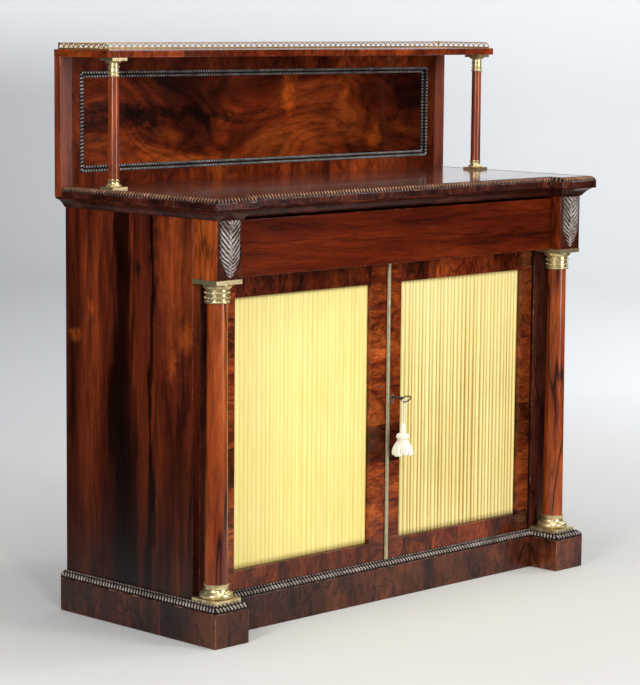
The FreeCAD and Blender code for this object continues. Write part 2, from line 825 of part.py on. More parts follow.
def makeDoor(side, sign):
    # the outer edge is rounded about the pivot, so that the door turns close to its stile
    plan = flipped(sign, [
        ("openingOuter", "caseFront"),
        ("pivotX", "caseFront", quarter),
        ("doorEdge", "doorMiddle", quarter),
        ("pivotX", "doorBack"),
        ("openingOuter", "doorBack"),
    ])
    hanging = newBody(f"{side}_hinge_stile")
    addPad(hanging, "XY_Plane", plan, "doorLow", "doorHigh - (doorLow)")
    holeRadius = "pivotRadius + pivotPlay"
    x = f"{sign} * (pivotX)"
    holes = [
        rod(f"{side}_{end}_hole", (x, "doorMiddle", seat), holeRadius, "pivotLength + pivotSpare", (0, 0, up))
        for end, seat, up in (("foot", "doorLow", 1), ("head", "doorHigh", -1))
    ]
    closing = board(f"{side}_lock_stile", across(sign, "doorGap", "openingInner"),
                    ("caseFront", "doorBack"), ("doorLow", "doorHigh"))
    tenonFront = "caseFront + tenonShoulder"
    tenonBack = "caseFront + tenonShoulder + tenonThick"
    rails = []
    for name, low, high in (("bottom", "doorLow", "openingLow"), ("top", "openingHigh", "doorHigh")):
        shoulder = board(f"{side}_{name}_rail", across(sign, "openingInner", "openingOuter"),
                         ("caseFront", "doorBack"), (low, high))
        tenon = board(f"{side}_{name}_tenon",
                      across(sign, "openingInner - tenonLength", "openingOuter + tenonLength"),
                      (tenonFront, tenonBack), (f"({low}) + tenonShoulder", f"({high}) - tenonShoulder"))
        mortises = [
            board(f"{side}_{name}_mortise_{edge}", across(sign, near, far), (tenonFront, tenonBack),
                  (f"({low}) + tenonShoulder", f"({high}) - tenonShoulder"))
            for edge, near, far in (
                ("lock", "openingInner - tenonLength", "openingInner + cutSpare"),
                ("hinge", "openingOuter - cutSpare", "openingOuter + tenonLength"),
            )
        ]
        closing = without(f"{side}_{name}_lock_joint", closing, [mortises[0]])
        holes.append(mortises[1])
        rails.append(joined(f"{side}_{name}_tenoned_rail", [shoulder, tenon]))
    if sign > 0:
        closing = without("right_keyed_stile", closing,
                          keyholeTools("stile_keyhole", "caseFront", "doorThick"))
    hanging = without(f"{side}_hung_stile", hanging, holes)
    keep(together(f"{side}_stile_pair", [hanging, closing]), f"{side}_door_stiles")
    keep(together(f"{side}_rail_pair", rails), f"{side}_door_rails")

    keep(board(f"{side}_backing", across(sign, "openingInner", "openingOuter"),
               ("backingFront", "backingBack"), ("openingLow", "openingHigh")), f"{side}_door_backing")
    keep(board(f"{side}_silk", across(sign, "openingInner + silkPlay", "openingOuter - silkPlay"),
               ("silkFront", "silkBack"), ("openingLow + silkPlay", "openingHigh - silkPlay")),
         f"{side}_door_silk")


def makePivots():
    pins = []
    for side, sign in (("left", -1), ("right", 1)):
        x = f"{sign} * (pivotX)"
        for end, seat, up in (("foot", "plinthTop", 1), ("head", "friezeFoot", -1)):
            washer = rod(f"{side}_{end}_washer", (x, "doorMiddle", seat), "washerRadius", "washerThick",
                         (0, 0, up))
            pin = rod(f"{side}_{end}_pin", (x, "doorMiddle", seat), "pivotRadius",
                      "doorFoot + pivotLength", (0, 0, up))
            pins.append(joined(f"{side}_{end}_pivot", [washer, pin]))
    keep(together("pivot_set", pins), "door_pivots")


astragalRise = 0.55


def makeAstragal():
    # a half-round brass strip along the meeting edge of the right-hand door
    left = "doorGap + astragalInset"
    shoulder = f"caseFront - astragalProud + astragalWidth / 2 * {astragalRise}"
    strip = newBody("astragal_strip")
    addPad(strip, "XY_Plane", [
        (left, "caseFront"),
        (left, shoulder, astragalRise),
        (f"{left} + astragalWidth", shoulder),
        (f"{left} + astragalWidth", "caseFront"),
    ], "doorLow", "doorHigh - astragalTop - (doorLow)")
    keep(strip, "door_astragal")


# ---- lock, key and bolts ----

def makeLock():
    plate = newBody("escutcheon_plate")
    rim = "(keyholeRadius + plateRim)"
    foot = "keyHeight - keyholeDrop - plateRim"
    addPad(plate, "XZ_Plane", [
        ("keyInset - keyholeSlot / 2 - plateRim", foot),
        ("keyInset + keyholeSlot / 2 + plateRim", foot),
        (f"keyInset + {rim} * 0.8", f"keyHeight - {rim} * 0.6", 0.5),
        (f"keyInset + {rim} * 0.6", f"keyHeight + {rim} * 0.8", 0.34),
        (f"keyInset - {rim} * 0.6", f"keyHeight + {rim} * 0.8", 0.5),
        (f"keyInset - {rim} * 0.8", f"keyHeight - {rim} * 0.6"),
    ], "-(caseFront)", "platesThick")
    keep(without("escutcheon_ring", plate, keyholeTools("plate_keyhole", "caseFront - platesThick",
                                                        "platesThick")), "key_escutcheon")

    # a box lock on the back of the stile, open towards it, with a slot for the bolt
    low, high = "keyHeight - lockBelow", "keyHeight + lockAbove"
    shell = board("lock_shell", ("lockX", "lockX + lockWidth"), ("doorBack", "doorBack + lockDepth"),
                  (low, high))
    hollow = board("lock_hollow", ("lockX + lockWall", "lockX + lockWidth - lockWall"),
                   ("doorBack", "doorBack + lockDepth - lockWall"),
                   (f"{low} + lockWall", f"{high} - lockWall"))
    slot = board("bolt_slot", ("lockX", "lockX + lockWall"),
                 ("boltFront - boltPlay", "boltBack + boltPlay"),
                 ("boltLow - boltPlay", "boltLow + boltHeight + boltPlay"))
    keep(without("lock_box", shell, [hollow, slot]), "lock_case")

    keep(board("bolt_bar", ("doorGap", "doorGap + boltLength"), ("boltFront", "boltBack"),
               ("boltLow", "boltLow + boltHeight")), "lock_bolt")
    block = board("keep_block", ("-doorGap - keepGap - keepWidth", "-doorGap - keepGap"),
                  ("doorBack", "boltBack + keepWall"),
                  ("boltLow - keepRim", "boltLow + boltHeight + keepRim"))
    socket = board("keep_socket", ("-doorGap - boltTravel - keepGap", "0"),
                   ("boltFront - boltPlay", "boltBack + boltPlay"),
                   ("boltLow - boltPlay", "boltLow + boltHeight + boltPlay"))
    keep(without("keep_box", block, [socket]), "lock_keep")


def makeKey():
    # the bow stands in the plane that the turned bit lies in
    shank = rod("key_shank", ("keyInset", "keyTip", "keyHeight"), "shankRadius", "keyTip - (collarY)",
                (0, -1, 0))
    collar = rod("key_collar", ("keyInset", "collarY", "keyHeight"), "collarRadius", "collarLength",
                 (0, -1, 0))
    neck = rod("key_neck", ("keyInset", "collarY", "keyHeight"), "bowBar", "collarLength + 2 * bowBar",
               (0, -1, 0))
    bow = doc.addObject("Part::Torus", "key_bow")
    bow.setExpression("Radius1", bound("bowRadius"))
    bow.setExpression("Radius2", bound("bowBar"))
    bow.Placement = FreeCAD.Placement(FreeCAD.Vector(), FreeCAD.Rotation(FreeCAD.Vector(0, -1, 0), 30))
    bow.setExpression("Placement.Rotation.Angle", bound("bowTilt"))
    standAt(bow, "keyInset", "bowY", "keyHeight")
    bit = doc.addObject("Part::Box", "key_bit")
    bit.setExpression("Length", bound("bitReach"))
    bit.setExpression("Width", bound("bitLength"))
    bit.setExpression("Height", bound("bitThick"))
    bit.Placement = FreeCAD.Placement(FreeCAD.Vector(), FreeCAD.Rotation(FreeCAD.Vector(0, -1, 0), 210))
    bit.setExpression("Placement.Rotation.Angle", bound("180 + bowTilt"))
    standAt(bit, "keyInset - bitThick / 2 * sin(bowTilt * 1 deg)", "keyTip - bitLength",
            "keyHeight + bitThick / 2 * cos(bowTilt * 1 deg)")
    keep(joined("key_whole", [shank, collar, neck, bow, bit]), "key")


def makeDoorBolt():
    # a sliding rod on the back of the left-hand door, held by two keepers
    x = "-(rodInset)"
    stem = rod("bolt_stem", (x, "rodY", "rodTop - rodLength"), "rodRadius", "rodLength", (0, 0, 1))
    level = "rodTop - rodLength + knobRise"
    knob = rod("bolt_knob", (x, "rodY", level), "knobRadius * 0.6", "knobReach", (0, 1, 0))
    grip = rod("bolt_grip", (x, "rodY + knobReach", level), "knobRadius", "knobThick", (0, 1, 0))
    keep(joined("bolt_rod", [stem, knob, grip]), "left_door_bolt")
    keepers = []
    for name, low in (("upper", "rodTop - keeperHeight - keeperDrop"),
                      ("lower", "rodTop - keeperHeight - keeperDrop - keeperSpan")):
        block = board(f"{name}_keeper_block", (f"{x} - keeperWidth / 2", f"{x} + keeperWidth / 2"),
                      ("doorBack", "rodY + rodRadius + keeperRim"), (low, f"{low} + keeperHeight"))
        eye = rod(f"{name}_keeper_eye", (x, "rodY", f"{low} - cutSpare"), "rodRadius + pivotPlay",
                  "keeperHeight + 2 * cutSpare", (0, 0, 1))
        keepers.append(without(f"{name}_keeper", block, [eye]))
    keep(together("keeper_pair", keepers), "door_bolt_keepers")


def makeTassel():
    # the double cord hangs over the low side of the bow, in the plane across its bar
    top = number("tasselZ") + number("loopRadius")
    reach = number("loopRadius")
    spread = number("cordFootSpread")
    foot = number("capTop")
    route = [FreeCAD.Vector(-spread, 0, foot), FreeCAD.Vector(-reach, 0, top),
             FreeCAD.Vector(reach, 0, top), FreeCAD.Vector(spread, 0, foot)]
    path = roundedPath(route)
    ring = Part.makeCircle(number("cordRadius"), route[0], route[1] - route[0])
    tube = Part.Wire(path).makePipeShell([Part.Wire(ring)], True, False)
    length = sum(edge.Length for edge in path)
    print("tassel cord length", round(length, 1), "volume share",
          round(tube.Volume / (math.pi * number("cordRadius") ** 2 * length), 4))
    cord = doc.addObject("Part::Feature", "cord_tube")
    cord.Shape = tube
    standAt(cord, "tasselX", "bowY", "0")
    keep(cord, "tassel_cord")

    tassel = newBody("tassel_form")
    addTurning(tassel, [
        ("0", "capTop"),
        ("capRadius * 0.75", "capTop", -0.4),
        ("capRadius", "capTop - capRound"),
        ("capRadius", "capFoot + capRound", -0.2),
        ("capRadius - capWaistCut", "capFoot", -0.5),
        ("ballRadius", "capFoot - ballLength * 0.55", -0.3),
        ("skirtWaist", "ballFoot", 0.12),
        ("skirtRadius", "skirtFoot + hemHeight"),
        ("skirtRadius", "skirtFoot"),
        ("0", "skirtFoot"),
    ])
    standAt(tassel, "tasselX", "bowY")
    keep(tassel, "tassel")


def roundedPath(route):
    # straight runs joined by tangent arcs, each as large as its shorter run allows
    edges = []
    start = route[0]
    for before, corner, after in zip(route, route[1:], route[2:]):
        incoming, outgoing = corner - before, after - corner
        shorter = min(incoming.Length, outgoing.Length)
        turn = incoming.getAngle(outgoing)
        cutBack = 0.45 * shorter
        print("cord arc radius", round(cutBack / math.tan(turn / 2), 2))
        into = corner - incoming.normalize() * cutBack
        away = corner + outgoing.normalize() * cutBack
        towards = ((into - corner) + (away - corner)).normalize()
        radius = cutBack / math.tan(turn / 2)
        middle = corner + towards * (radius / math.cos(turn / 2) - radius)
        edges.append(Part.LineSegment(start, into).toShape())
        edges.append(Part.Arc(into, middle, away).toShape())
        start = away
    edges.append(Part.LineSegment(start, route[-1]).toShape())
    return edges


# ---- columns ----

def squareAbout(side):
    return rectangle((f"-{side} / 2", f"{side} / 2"), (f"-{side} / 2", f"{side} / 2"))


def columnBase(label, kind, x, y, seat):
    # a square, a torus and a scotia that rises to the lip of the cup that holds the shaft
    torusFoot = f"{kind}SquareHeight"
    torusTop = f"{torusFoot} + {kind}TorusHeight"
    waist = f"{torusTop} + {kind}ScotiaHeight"
    lip = f"{waist} + {kind}LipHeight"
    cup = f"{kind}ShaftFoot + cupPlay"
    base = newBody(label)
    addPad(base, "XY_Plane", squareAbout(f"{kind}Square"), "0", f"{kind}SquareHeight")
    addTurning(base, [
        ("0", torusFoot),
        (f"{kind}Torus * 0.9", torusFoot, 0.62),
        (f"{kind}Torus * 0.92", torusTop),
        (f"{kind}Torus * 0.86", torusTop, -0.28),
        (f"{kind}Waist", waist, -0.1),
        (f"{kind}Lip", f"{lip} - {kind}LipHeight * 0.2"),
        (f"{kind}Lip", lip),
        (cup, lip),
        (cup, f"{lip} - {kind}Cup"),
        ("0", f"{lip} - {kind}Cup"),
    ])
    return standAt(base, x, y, seat)


def columnShaft(label, kind, x, y, seat, top):
    foot = f"({seat}) + {kind}SquareHeight + {kind}TorusHeight + {kind}ScotiaHeight"
    foot = f"{foot} + {kind}LipHeight - {kind}Cup"
    height = f"({top}) - ({foot})"
    shaft = newBody(label)
    addTurning(shaft, [
        ("0", "0"),
        (f"{kind}ShaftFoot", "0"),
        (f"{kind}ShaftHead", height),
        ("0", height),
    ])
    return standAt(shaft, x, y, foot)


def columnCapital(label, kind, x, y, seat):
    # a ring, a neck with two rows of beads, an echinus and a square abacus
    neckFoot = f"{kind}RingHeight"
    neckTop = f"{kind}NeckHeight"
    echinusTop = f"{neckTop} + {kind}EchinusHeight"
    turned = [
        ("0", "0"),
        (f"{kind}Neck + ringProud", "0", 0.7),
        (f"{kind}Neck + ringProud", neckFoot),
        (f"{kind}Neck", neckFoot),
    ]
    for bead in ("Low", "High"):
        foot = f"{kind}Bead{bead}"
        turned += [(f"{kind}Neck", foot, 0.7), (f"{kind}Neck", f"{foot} + {kind}Bead")]
    turned += [
        (f"{kind}Neck", neckTop),
        (f"{kind}Neck + neckFlare", neckTop, 0.3),
        (f"{kind}Echinus", echinusTop),
        ("0", echinusTop),
    ]
    capital = newBody(label)
    addTurning(capital, turned)
    addPad(capital, "XY_Plane", squareAbout(f"{kind}Square"), echinusTop, f"{kind}AbacusHeight")
    return standAt(capital, x, y, seat)


def makeColumns():
    heights = {
        kind: f"({kind}NeckHeight + {kind}EchinusHeight + {kind}AbacusHeight)"
        for kind in ("large", "small")
    }
    small = {"base": [], "shaft": [], "capital": []}
    for side, sign in (("left", -1), ("right", 1)):
        x, y = f"{sign} * (columnX)", "columnY"
        head = f"friezeFoot - {heights['large']}"
        keep(columnBase(f"{side}_large_base", "large", x, y, "plinthTop"), f"{side}_column_base")
        keep(columnShaft(f"{side}_large_shaft", "large", x, y, "plinthTop", head), f"{side}_column_shaft")
        keep(columnCapital(f"{side}_large_capital", "large", x, y, head), f"{side}_column_capital")
        x, y = f"{sign} * (smallX)", "smallY"
        head = f"backTop - {heights['small']}"
        small["base"].append(columnBase(f"{side}_small_base", "small", x, y, "tableTop"))
        small["shaft"].append(columnShaft(f"{side}_small_shaft", "small", x, y, "tableTop", head))
        small["capital"].append(columnCapital(f"{side}_small_capital", "small", x, y, head))
    for part, pieces in small.items():
        keep(together(f"small_{part}_pair", pieces), f"small_column_{part}s")


# ---- raised back, shelf and gallery ----

def makeRaisedBack():
    posts = [
        board(f"{side}_pilaster", across(sign, "pilasterInner", "backHalf"), ("pilasterFront", "caseRear"),
              ("caseTop", "backTop"))
        for side, sign in (("left", -1), ("right", 1))
    ]
    keep(together("pilaster_pair", posts), "back_pilasters")
    frame = newBody("back_board")
    addPad(frame, "XZ_Plane", rectangle(("-(pilasterInner)", "pilasterInner"), ("caseTop", "backTop")),
           "-(caseRear)", "caseRear - (frameFront)")
    addPocket(frame, "XZ_Plane", rectangle(("-(panelHalf)", "panelHalf"), ("panelLow", "panelHigh")),
              "-(frameFront)", "caseRear - (frameFront)")
    keep(frame, "back_frame")
    keep(board("back_field", ("-(panelHalf)", "panelHalf"), ("panelFace", "caseRear"),
               ("panelLow", "panelHigh")), "raised_panel")

    # a moulding that slopes back to the panel between two beads
    depth = "((panelFace) - (frameFront))"
    section = [
        ("0", "0"),
        ("0", f"-{depth} - panelMouldProud + ropeDrop", 0.5),
        ("ropeBead", f"-{depth} + ropeDrop"),
        ("panelMouldWidth - ropeBead", "-ropeInnerRise", 0.5),
        ("panelMouldWidth", "-ropeDrop"),
        ("panelMouldWidth", "0"),
    ]
    route = [("-(panelHalf)", "(panelLow + panelHigh) / 2")] + [
        ("-(panelHalf)", "panelHigh"),
        ("panelHalf", "panelHigh"),
        ("panelHalf", "panelLow"),
        ("-(panelHalf)", "panelLow"),
    ]
    keep(swept("panel_mould", route, "panelFace", section,
               ("-(panelHalf)", "panelFace", "(panelLow + panelHigh) / 2"), closed=True, upright=True),
         "panel_moulding")

    shelf = newBody("shelf_board")
    addPad(shelf, "YZ_Plane", [
        ("caseRear", "backTop"),
        ("caseRear", "shelfTop"),
        ("shelfFront + shelfNosing", "shelfTop", quarter),
        ("shelfFront", "shelfTop - shelfNosing"),
        ("shelfFront", "backTop + shelfNosing", quarter),
        ("shelfFront + shelfNosing", "backTop"),
    ], "-(backHalf)", "2 * (backHalf)")
    keep(shelf, "raised_shelf")


def archHeight(along, centre, radius, height):
    return height * math.sqrt(max(0, 1 - ((along - centre) / radius) ** 2))


def crossing(pitch, inner, outer, innerHeight, outerHeight):
    # where the underside of one arch meets the top of the next, short of midway between them
    low, high = 0, pitch / 2
    for _ in range(40):
        middle = (low + high) / 2
        if archHeight(middle, 0, inner, innerHeight) > archHeight(middle, pitch, outer, outerHeight):
            low = middle
        else:
            high = middle
    return low


def galleryStrip(length, openEnd):
    # arches two pitches wide, one starting at every pitch, so that each crosses its neighbours
    count = round(length / number("galleryPitch"))
    pitch = length / count
    bar, rail = number("galleryBar"), number("galleryRail")
    inner, outer = pitch - bar / 2, pitch + bar / 2
    outerHeight = number("galleryHeight") - rail
    innerHeight = outerHeight - bar
    half = pitch / 2

    def spot(along, height):
        return FreeCAD.Vector(along, 0, rail + height)

    def crest(along, centre):
        return spot(along, archHeight(along, centre, outer, outerHeight))

    def under(along, centre):
        return spot(along, archHeight(along, centre, inner, innerHeight))

    edge =[FreeCAD.Vector(0, 0, 0), FreeCAD.Vector(length, 0, 0), spot(length, 0)]
    if openEnd:
        edge += [crest(length - 0.3 * half, length - pitch)]
    else:
        edge += [crest(length, length), crest(length - half / 2, length)]
    edge += [crest(length - half, length - pitch)]
    for arch in range(count - 1, 0, -1):
        centre = arch * pitch
        edge += [crest(centre + half / 2, centre), crest(centre, centre), crest(centre - half / 2, centre),
                 crest(centre - half, centre)]
    edge += [crest(half / 2, 0), crest(0, 0)]
    meet = crossing(pitch, inner, outer, innerHeight, outerHeight)
    holes = []
    for arch in range(count):
        centre = arch * pitch
        left, right = centre + bar / 2 + 0.4, centre + pitch - bar / 2 - 0.4
        holes.append([spot(left, 0), spot(right, 0), under(right - 0.2 * half, centre),
                      under(centre + half, centre), under(left + 0.2 * half, centre + pitch)])
        if arch > 0:
            foot = crest(centre, centre + pitch)
            holes.append([
                foot,
                crest(centre + meet / 2, centre + pitch),
                crest(centre + meet, centre + pitch),
                under(centre, centre),
                crest(centre - meet, centre - pitch),
                crest(centre - meet / 2, centre - pitch),
            ])
    loops = [Part.makePolygon(loop + [loop[0]]) for loop in [edge] + holes]
    face = Part.makeFace(loops, "Part::FaceMakerBullseye")
    return face.extrude(FreeCAD.Vector(0, number("galleryThick"), 0))


def makeGallery():
    half = number("backHalf - galleryInset")
    rear = number("caseRear - galleryRearInset")
    arm = rear - number("shelfFront + galleryInset")
    thick = number("galleryThick")
    back = galleryStrip(2 * half, False)
    back.translate(FreeCAD.Vector(-half, rear - thick, 0))
    strips = [back]
    for sign in (-1, 1):
        side = galleryStrip(arm - thick, True)
        side.rotate(FreeCAD.Vector(), FreeCAD.Vector(0, 0, 1), -90)
        side.translate(FreeCAD.Vector(half - thick if sign > 0 else -half, rear - thick, 0))
        strips.append(side)
    gallery = doc.addObject("Part::Feature", "gallery_strips")
    gallery.Shape = Part.makeCompound(strips)
    standAt(gallery, "0", "0", "shelfTop")
    keep(gallery, "gallery")


makePlinth()
makeCase()
makeFriezeBlocks()
makeTop()
makeDrawer()
for side, sign in (("left", -1), ("right", 1)):
    makeDoor(side, sign)
makePivots()
makeAstragal()
makeLock()
makeKey()
makeDoorBolt()
makeTassel()
makeColumns()
makeRaisedBack()
makeGallery()
doc.recompute()

faults = [item.Name for item in doc.Objects if "Invalid" in item.State or "Error" in item.State]
for node in nodes:
    if node.Shape.isNull() or not node.Shape.isValid() or not node.Shape.Solids:
        faults.append(node.Label)
if faults:
    raise SystemExit("not sound: " + ", ".join(faults))

os.makedirs("parts", exist_ok=True)
for node in nodes:
    node.Shape.exportStep(os.path.join("parts", node.Label + ".step"))
whole = Part.makeCompound([node.Shape for node in nodes])
box = whole.BoundBox
print(len(nodes), "nodes;", "x", round(box.XMin, 2), round(box.XMax, 2), "y", round(box.YMin, 2),
      round(box.YMax, 2), "z", round(box.ZMin, 2), round(box.ZMax, 2))
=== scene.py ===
import json
import math
import random

import bmesh
import bpy
from mathutils import Matrix, Vector, noise

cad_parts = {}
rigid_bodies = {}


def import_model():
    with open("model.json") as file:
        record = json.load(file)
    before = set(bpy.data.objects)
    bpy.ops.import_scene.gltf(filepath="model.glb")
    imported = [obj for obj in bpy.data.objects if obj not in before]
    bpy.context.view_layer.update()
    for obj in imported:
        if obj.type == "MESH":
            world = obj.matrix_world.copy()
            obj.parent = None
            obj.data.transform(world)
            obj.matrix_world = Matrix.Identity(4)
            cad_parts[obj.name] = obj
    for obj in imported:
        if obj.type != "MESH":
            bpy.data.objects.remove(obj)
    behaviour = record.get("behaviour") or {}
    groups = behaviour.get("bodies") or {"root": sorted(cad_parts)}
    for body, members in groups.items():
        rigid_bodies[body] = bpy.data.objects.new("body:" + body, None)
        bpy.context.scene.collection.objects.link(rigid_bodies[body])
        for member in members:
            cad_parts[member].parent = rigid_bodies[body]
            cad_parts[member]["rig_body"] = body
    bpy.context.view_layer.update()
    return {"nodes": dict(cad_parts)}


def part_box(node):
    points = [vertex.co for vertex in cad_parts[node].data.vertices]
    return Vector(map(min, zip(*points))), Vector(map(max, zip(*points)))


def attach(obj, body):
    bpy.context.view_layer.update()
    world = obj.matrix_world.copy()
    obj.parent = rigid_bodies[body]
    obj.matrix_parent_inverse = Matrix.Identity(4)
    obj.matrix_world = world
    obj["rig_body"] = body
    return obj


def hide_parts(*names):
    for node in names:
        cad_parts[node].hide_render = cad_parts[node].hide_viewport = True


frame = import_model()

# A rosewood chiffonier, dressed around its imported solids. Everything is in metres unless a note
# says otherwise.
scene = bpy.context.scene
nodes = frame["nodes"]
millimetre = 0.001
quarterTurn = math.pi / 2
fullTurn = 2 * math.pi
white = (1.0, 1.0, 1.0)


# camera, lights and room

camera = {
    "spot": (-3.9863, -3.8871, 1.2647),
    "heading": 45.359,        # degrees from the depth of the case towards its right
    "dip": 7.349,
    "roll": 0.501,
    "lens": 134.695,
    "sensor": 36.0,
    "reach": 60,
}


def makeCamera():
    heading, dip, roll = (math.radians(camera[name]) for name in ("heading", "dip", "roll"))
    ahead = Vector((math.sin(heading) * math.cos(dip), math.cos(heading) * math.cos(dip), -math.sin(dip)))
    level = Vector((math.cos(heading), -math.sin(heading), 0))
    upright = level.cross(ahead)
    right = level * math.cos(roll) + upright * math.sin(roll)
    up = upright * math.cos(roll) - level * math.sin(roll)
    lens = bpy.data.cameras.new("viewCamera")
    lens.lens = camera["lens"]
    lens.sensor_width = camera["sensor"]
    lens.clip_end = camera["reach"]
    eye = bpy.data.objects.new("viewCamera", lens)
    eye.matrix_world = Matrix((
        (right.x, up.x, -ahead.x, camera["spot"][0]),
        (right.y, up.y, -ahead.y, camera["spot"][1]),
        (right.z, up.z, -ahead.z, camera["spot"][2]),
        (0, 0, 0, 1),
    ))
    scene.collection.objects.link(eye)
    scene.camera = eye


room = {
    # polished sides mirror only a disc that nothing else sees, and its teeth make the mirror fade
    "discFull": 0.8,
    "discReach": 1.9,
    "discTeeth": 240,
    "discLift": 0.0003,
    "hub": 0.01,              # the floor starts this far from the middle
    "wallFoot": 6.6,
    "wallRadius": 8.4,
    "wallHeight": 6.5,
    "bendSteps": 8,
    "steps": 96,
    "wallPaper": (0.86, 0.87, 0.885),
    # painted shade and light on the paper: darker on the left of the wall, lighter high up, darker on the
    # floor near the case
    "wallPaintedShade": (0.56, 0.56, 0.57),
    "wallPaintedLight": (0.93, 0.94, 0.955),
    "headFrom": 0.75,
    "headTo": 1.35,
    "floorPaperAndShade": (0.60, 0.59, 0.57),
    "floorFrom": 0.9,
    "floorTo": 3.2,
    # painted light and shade: the wall is painted lighter on the right of the view than on the left
    "across": (0.703, -0.711, 0.0),     # the wall is lighter on the right of the view
    "shadeFrom": -1.9,
    "shadeTo": 1.1,
    "behind": 44,             # degrees: the part of the wall that polished tops mirror
    "behindWidth": 84,
    "skyColour": (0.90, 0.94, 1.0),
    "skyStrength": 0.34,
}

# name, spot, aimed at, width, height, power, colour
lamps = (
    ("frontSoftbox", (0.95, -3.15, 1.35), (0.0, -0.1, 0.75), 0.75, 2.3, 62, (1.0, 0.985, 0.96)),
    ("leftSoftbox", (-3.2, -1.15, 1.7), (-0.4, 0.0, 0.9), 0.5, 1.7, 62, (1.0, 0.99, 0.97)),
    ("kicker", (-2.2, -3.4, 2.3), (-0.2, -0.2, 0.7), 0.45, 0.9, 42, white),
    ("overhead", (0.2, -0.6, 3.4), (0.0, 0.0, 0.6), 2.2, 2.2, 44, white),
    ("wallWash", (4.4, -1.4, 3.6), (5.4, 4.6, 1.2), 2.2, 1.4, 175, white),
    ("wallFill", (-2.2, 3.4, 3.2), (3.4, 5.4, 2.6), 1.6, 1.2, 55, white),
)


def paintedShadePaper():
    # one sheet of paper, warmer on the floor than up the wall, with painted shade: darker on the floor near
    # the case and on the left of the wall, and painted light high up on it
    paper, tree, shader = newFinish("paintedShadePaper")
    place = ownPlace(tree)
    away = vectorMaths(tree, "LENGTH", vectorMaths(tree, "MULTIPLY", place, (1, 1, 0)))
    across = vectorMaths(tree, "DOT_PRODUCT", place, room["across"])
    # painted shade: the wall darkens towards the left of the view
    shade = between(tree, across, room["shadeFrom"], room["shadeTo"])
    wallColour = blendColours(tree, "MIX", shade, room["wallPaintedShade"], room["wallPaper"])
    # painted light: the wall is lighter high up
    rise = between(tree, parted(tree, place)[2], room["headFrom"], room["headTo"],
                   interpolation_type="SMOOTHSTEP")
    wallColour = blendColours(tree, "MIX", rise, wallColour, room["wallPaintedLight"])
    # painted shade: the floor near the case is darker than the wall
    distance = between(tree, away, room["floorFrom"], room["floorTo"])
    feed(tree, shader, {
        "Base Color": blendColours(tree, "MIX", distance, room["floorPaperAndShade"], wallColour),
        "Roughness": 0.9, "Specular IOR Level": 0.1,
    })
    return paper


def stagePiece(label, points, faces, finish):
    mesh = bpy.data.meshes.new(label)
    mesh.from_pydata(points, [], faces)
    mesh.materials.append(finish)
    mesh.shade_smooth()
    piece = bpy.data.objects.new(label, mesh)
    scene.collection.objects.link(piece)
    return piece


def wall(label, profile, start, end, paper):
    # the profile of floor and wall, swept about the middle of the room
    points, faces = [], []
    for step in range(room["steps"] + 1):
        turn = start + (end - start) * step / room["steps"]
        points += [(r * math.cos(turn), r * math.sin(turn), z) for r, z in profile]
    rows = len(profile)
    for step in range(room["steps"]):
        for row in range(rows - 1):
            low = step * rows + row
            faces.append((low, low + rows, low + rows + 1, low + 1))
    return stagePiece(label, points, faces, paper)


def mirroredFloor(paper):
    points, rim = [(0, 0, room["discLift"])], 2 * room["discTeeth"]
    for step in range(rim):
        radius = room["discReach"] if step % 2 else room["discFull"]
        turn = fullTurn * step / rim
        points.append((radius * math.cos(turn), radius * math.sin(turn), room["discLift"]))
    faces = [(0, 1 + step, 1 + (step + 1) % rim) for step in range(rim)]
    disc = stagePiece("mirroredFloor", points, faces, paper)
    disc.visible_camera = disc.visible_diffuse = disc.visible_shadow = False


def makeRoom():
    paper = paintedShadePaper()
    profile = [(room["hub"], 0.0), (room["wallFoot"], 0.0)]
    bend = room["wallRadius"] - room["wallFoot"]
    for step in range(1, room["bendSteps"] + 1):
        turn = quarterTurn * step / room["bendSteps"]
        profile.append((room["wallFoot"] + bend * math.sin(turn), bend * (1 - math.cos(turn))))
    profile.append((room["wallRadius"], room["wallHeight"]))
    near = math.radians(room["behind"] - room["behindWidth"] / 2)
    far = math.radians(room["behind"] + room["behindWidth"] / 2)
    wall("backdrop", profile, near, far, paper)
    wall("roomShell", profile, far, near + fullTurn, paper).visible_glossy = False
    mirroredFloor(paper)

    for label, spot, target, width, height, power, colour in lamps:
        glow = bpy.data.lights.new(label, "AREA")
        glow.shape = "RECTANGLE"
        glow.size, glow.size_y = width, height
        glow.energy = power
        glow.color = colour
        lamp = bpy.data.objects.new(label, glow)
        aim = (Vector(target) - Vector(spot)).to_track_quat("-Z", "Y").to_matrix().to_4x4()
        lamp.matrix_world = Matrix.Translation(spot) @ aim
        lamp.visible_camera = False
        scene.collection.objects.link(lamp)

    sky = bpy.data.worlds.new("studioSky")
    sky.use_nodes = True
    light = sky.node_tree.nodes["Background"]
    feed(sky.node_tree, light, {"Color": (*room["skyColour"], 1), "Strength": room["skyStrength"]})
    # the studio on the near side is dark, so that polished fronts mirror nothing pale
    sky.cycles_visibility.glossy = False
    scene.world = sky
    scene.view_settings.view_transform = "Standard"


# nodes for the finishes

def newFinish(name):
    finish = bpy.data.materials.new(name)
    finish.use_nodes = True
    tree = finish.node_tree
    return finish, tree, tree.nodes["Principled BSDF"]


def feed(tree, node, inputs):
    # each input is a value or a socket to link
    for socket, value in inputs.items():
        if isinstance(value, bpy.types.NodeSocket):
            tree.links.new(value, node.inputs[socket])
        else:
            node.inputs[socket].default_value = value


def wire(tree, kind, inputs=None, **settings):
    node = tree.nodes.new(kind)
    for name, value in settings.items():
        setattr(node, name, value)
    feed(tree, node, inputs or {})
    return node


def ownPlace(tree):
    return wire(tree, "ShaderNodeTexCoord").outputs["Object"]


def parted(tree, place):
    return wire(tree, "ShaderNodeSeparateXYZ", {0: place}).outputs


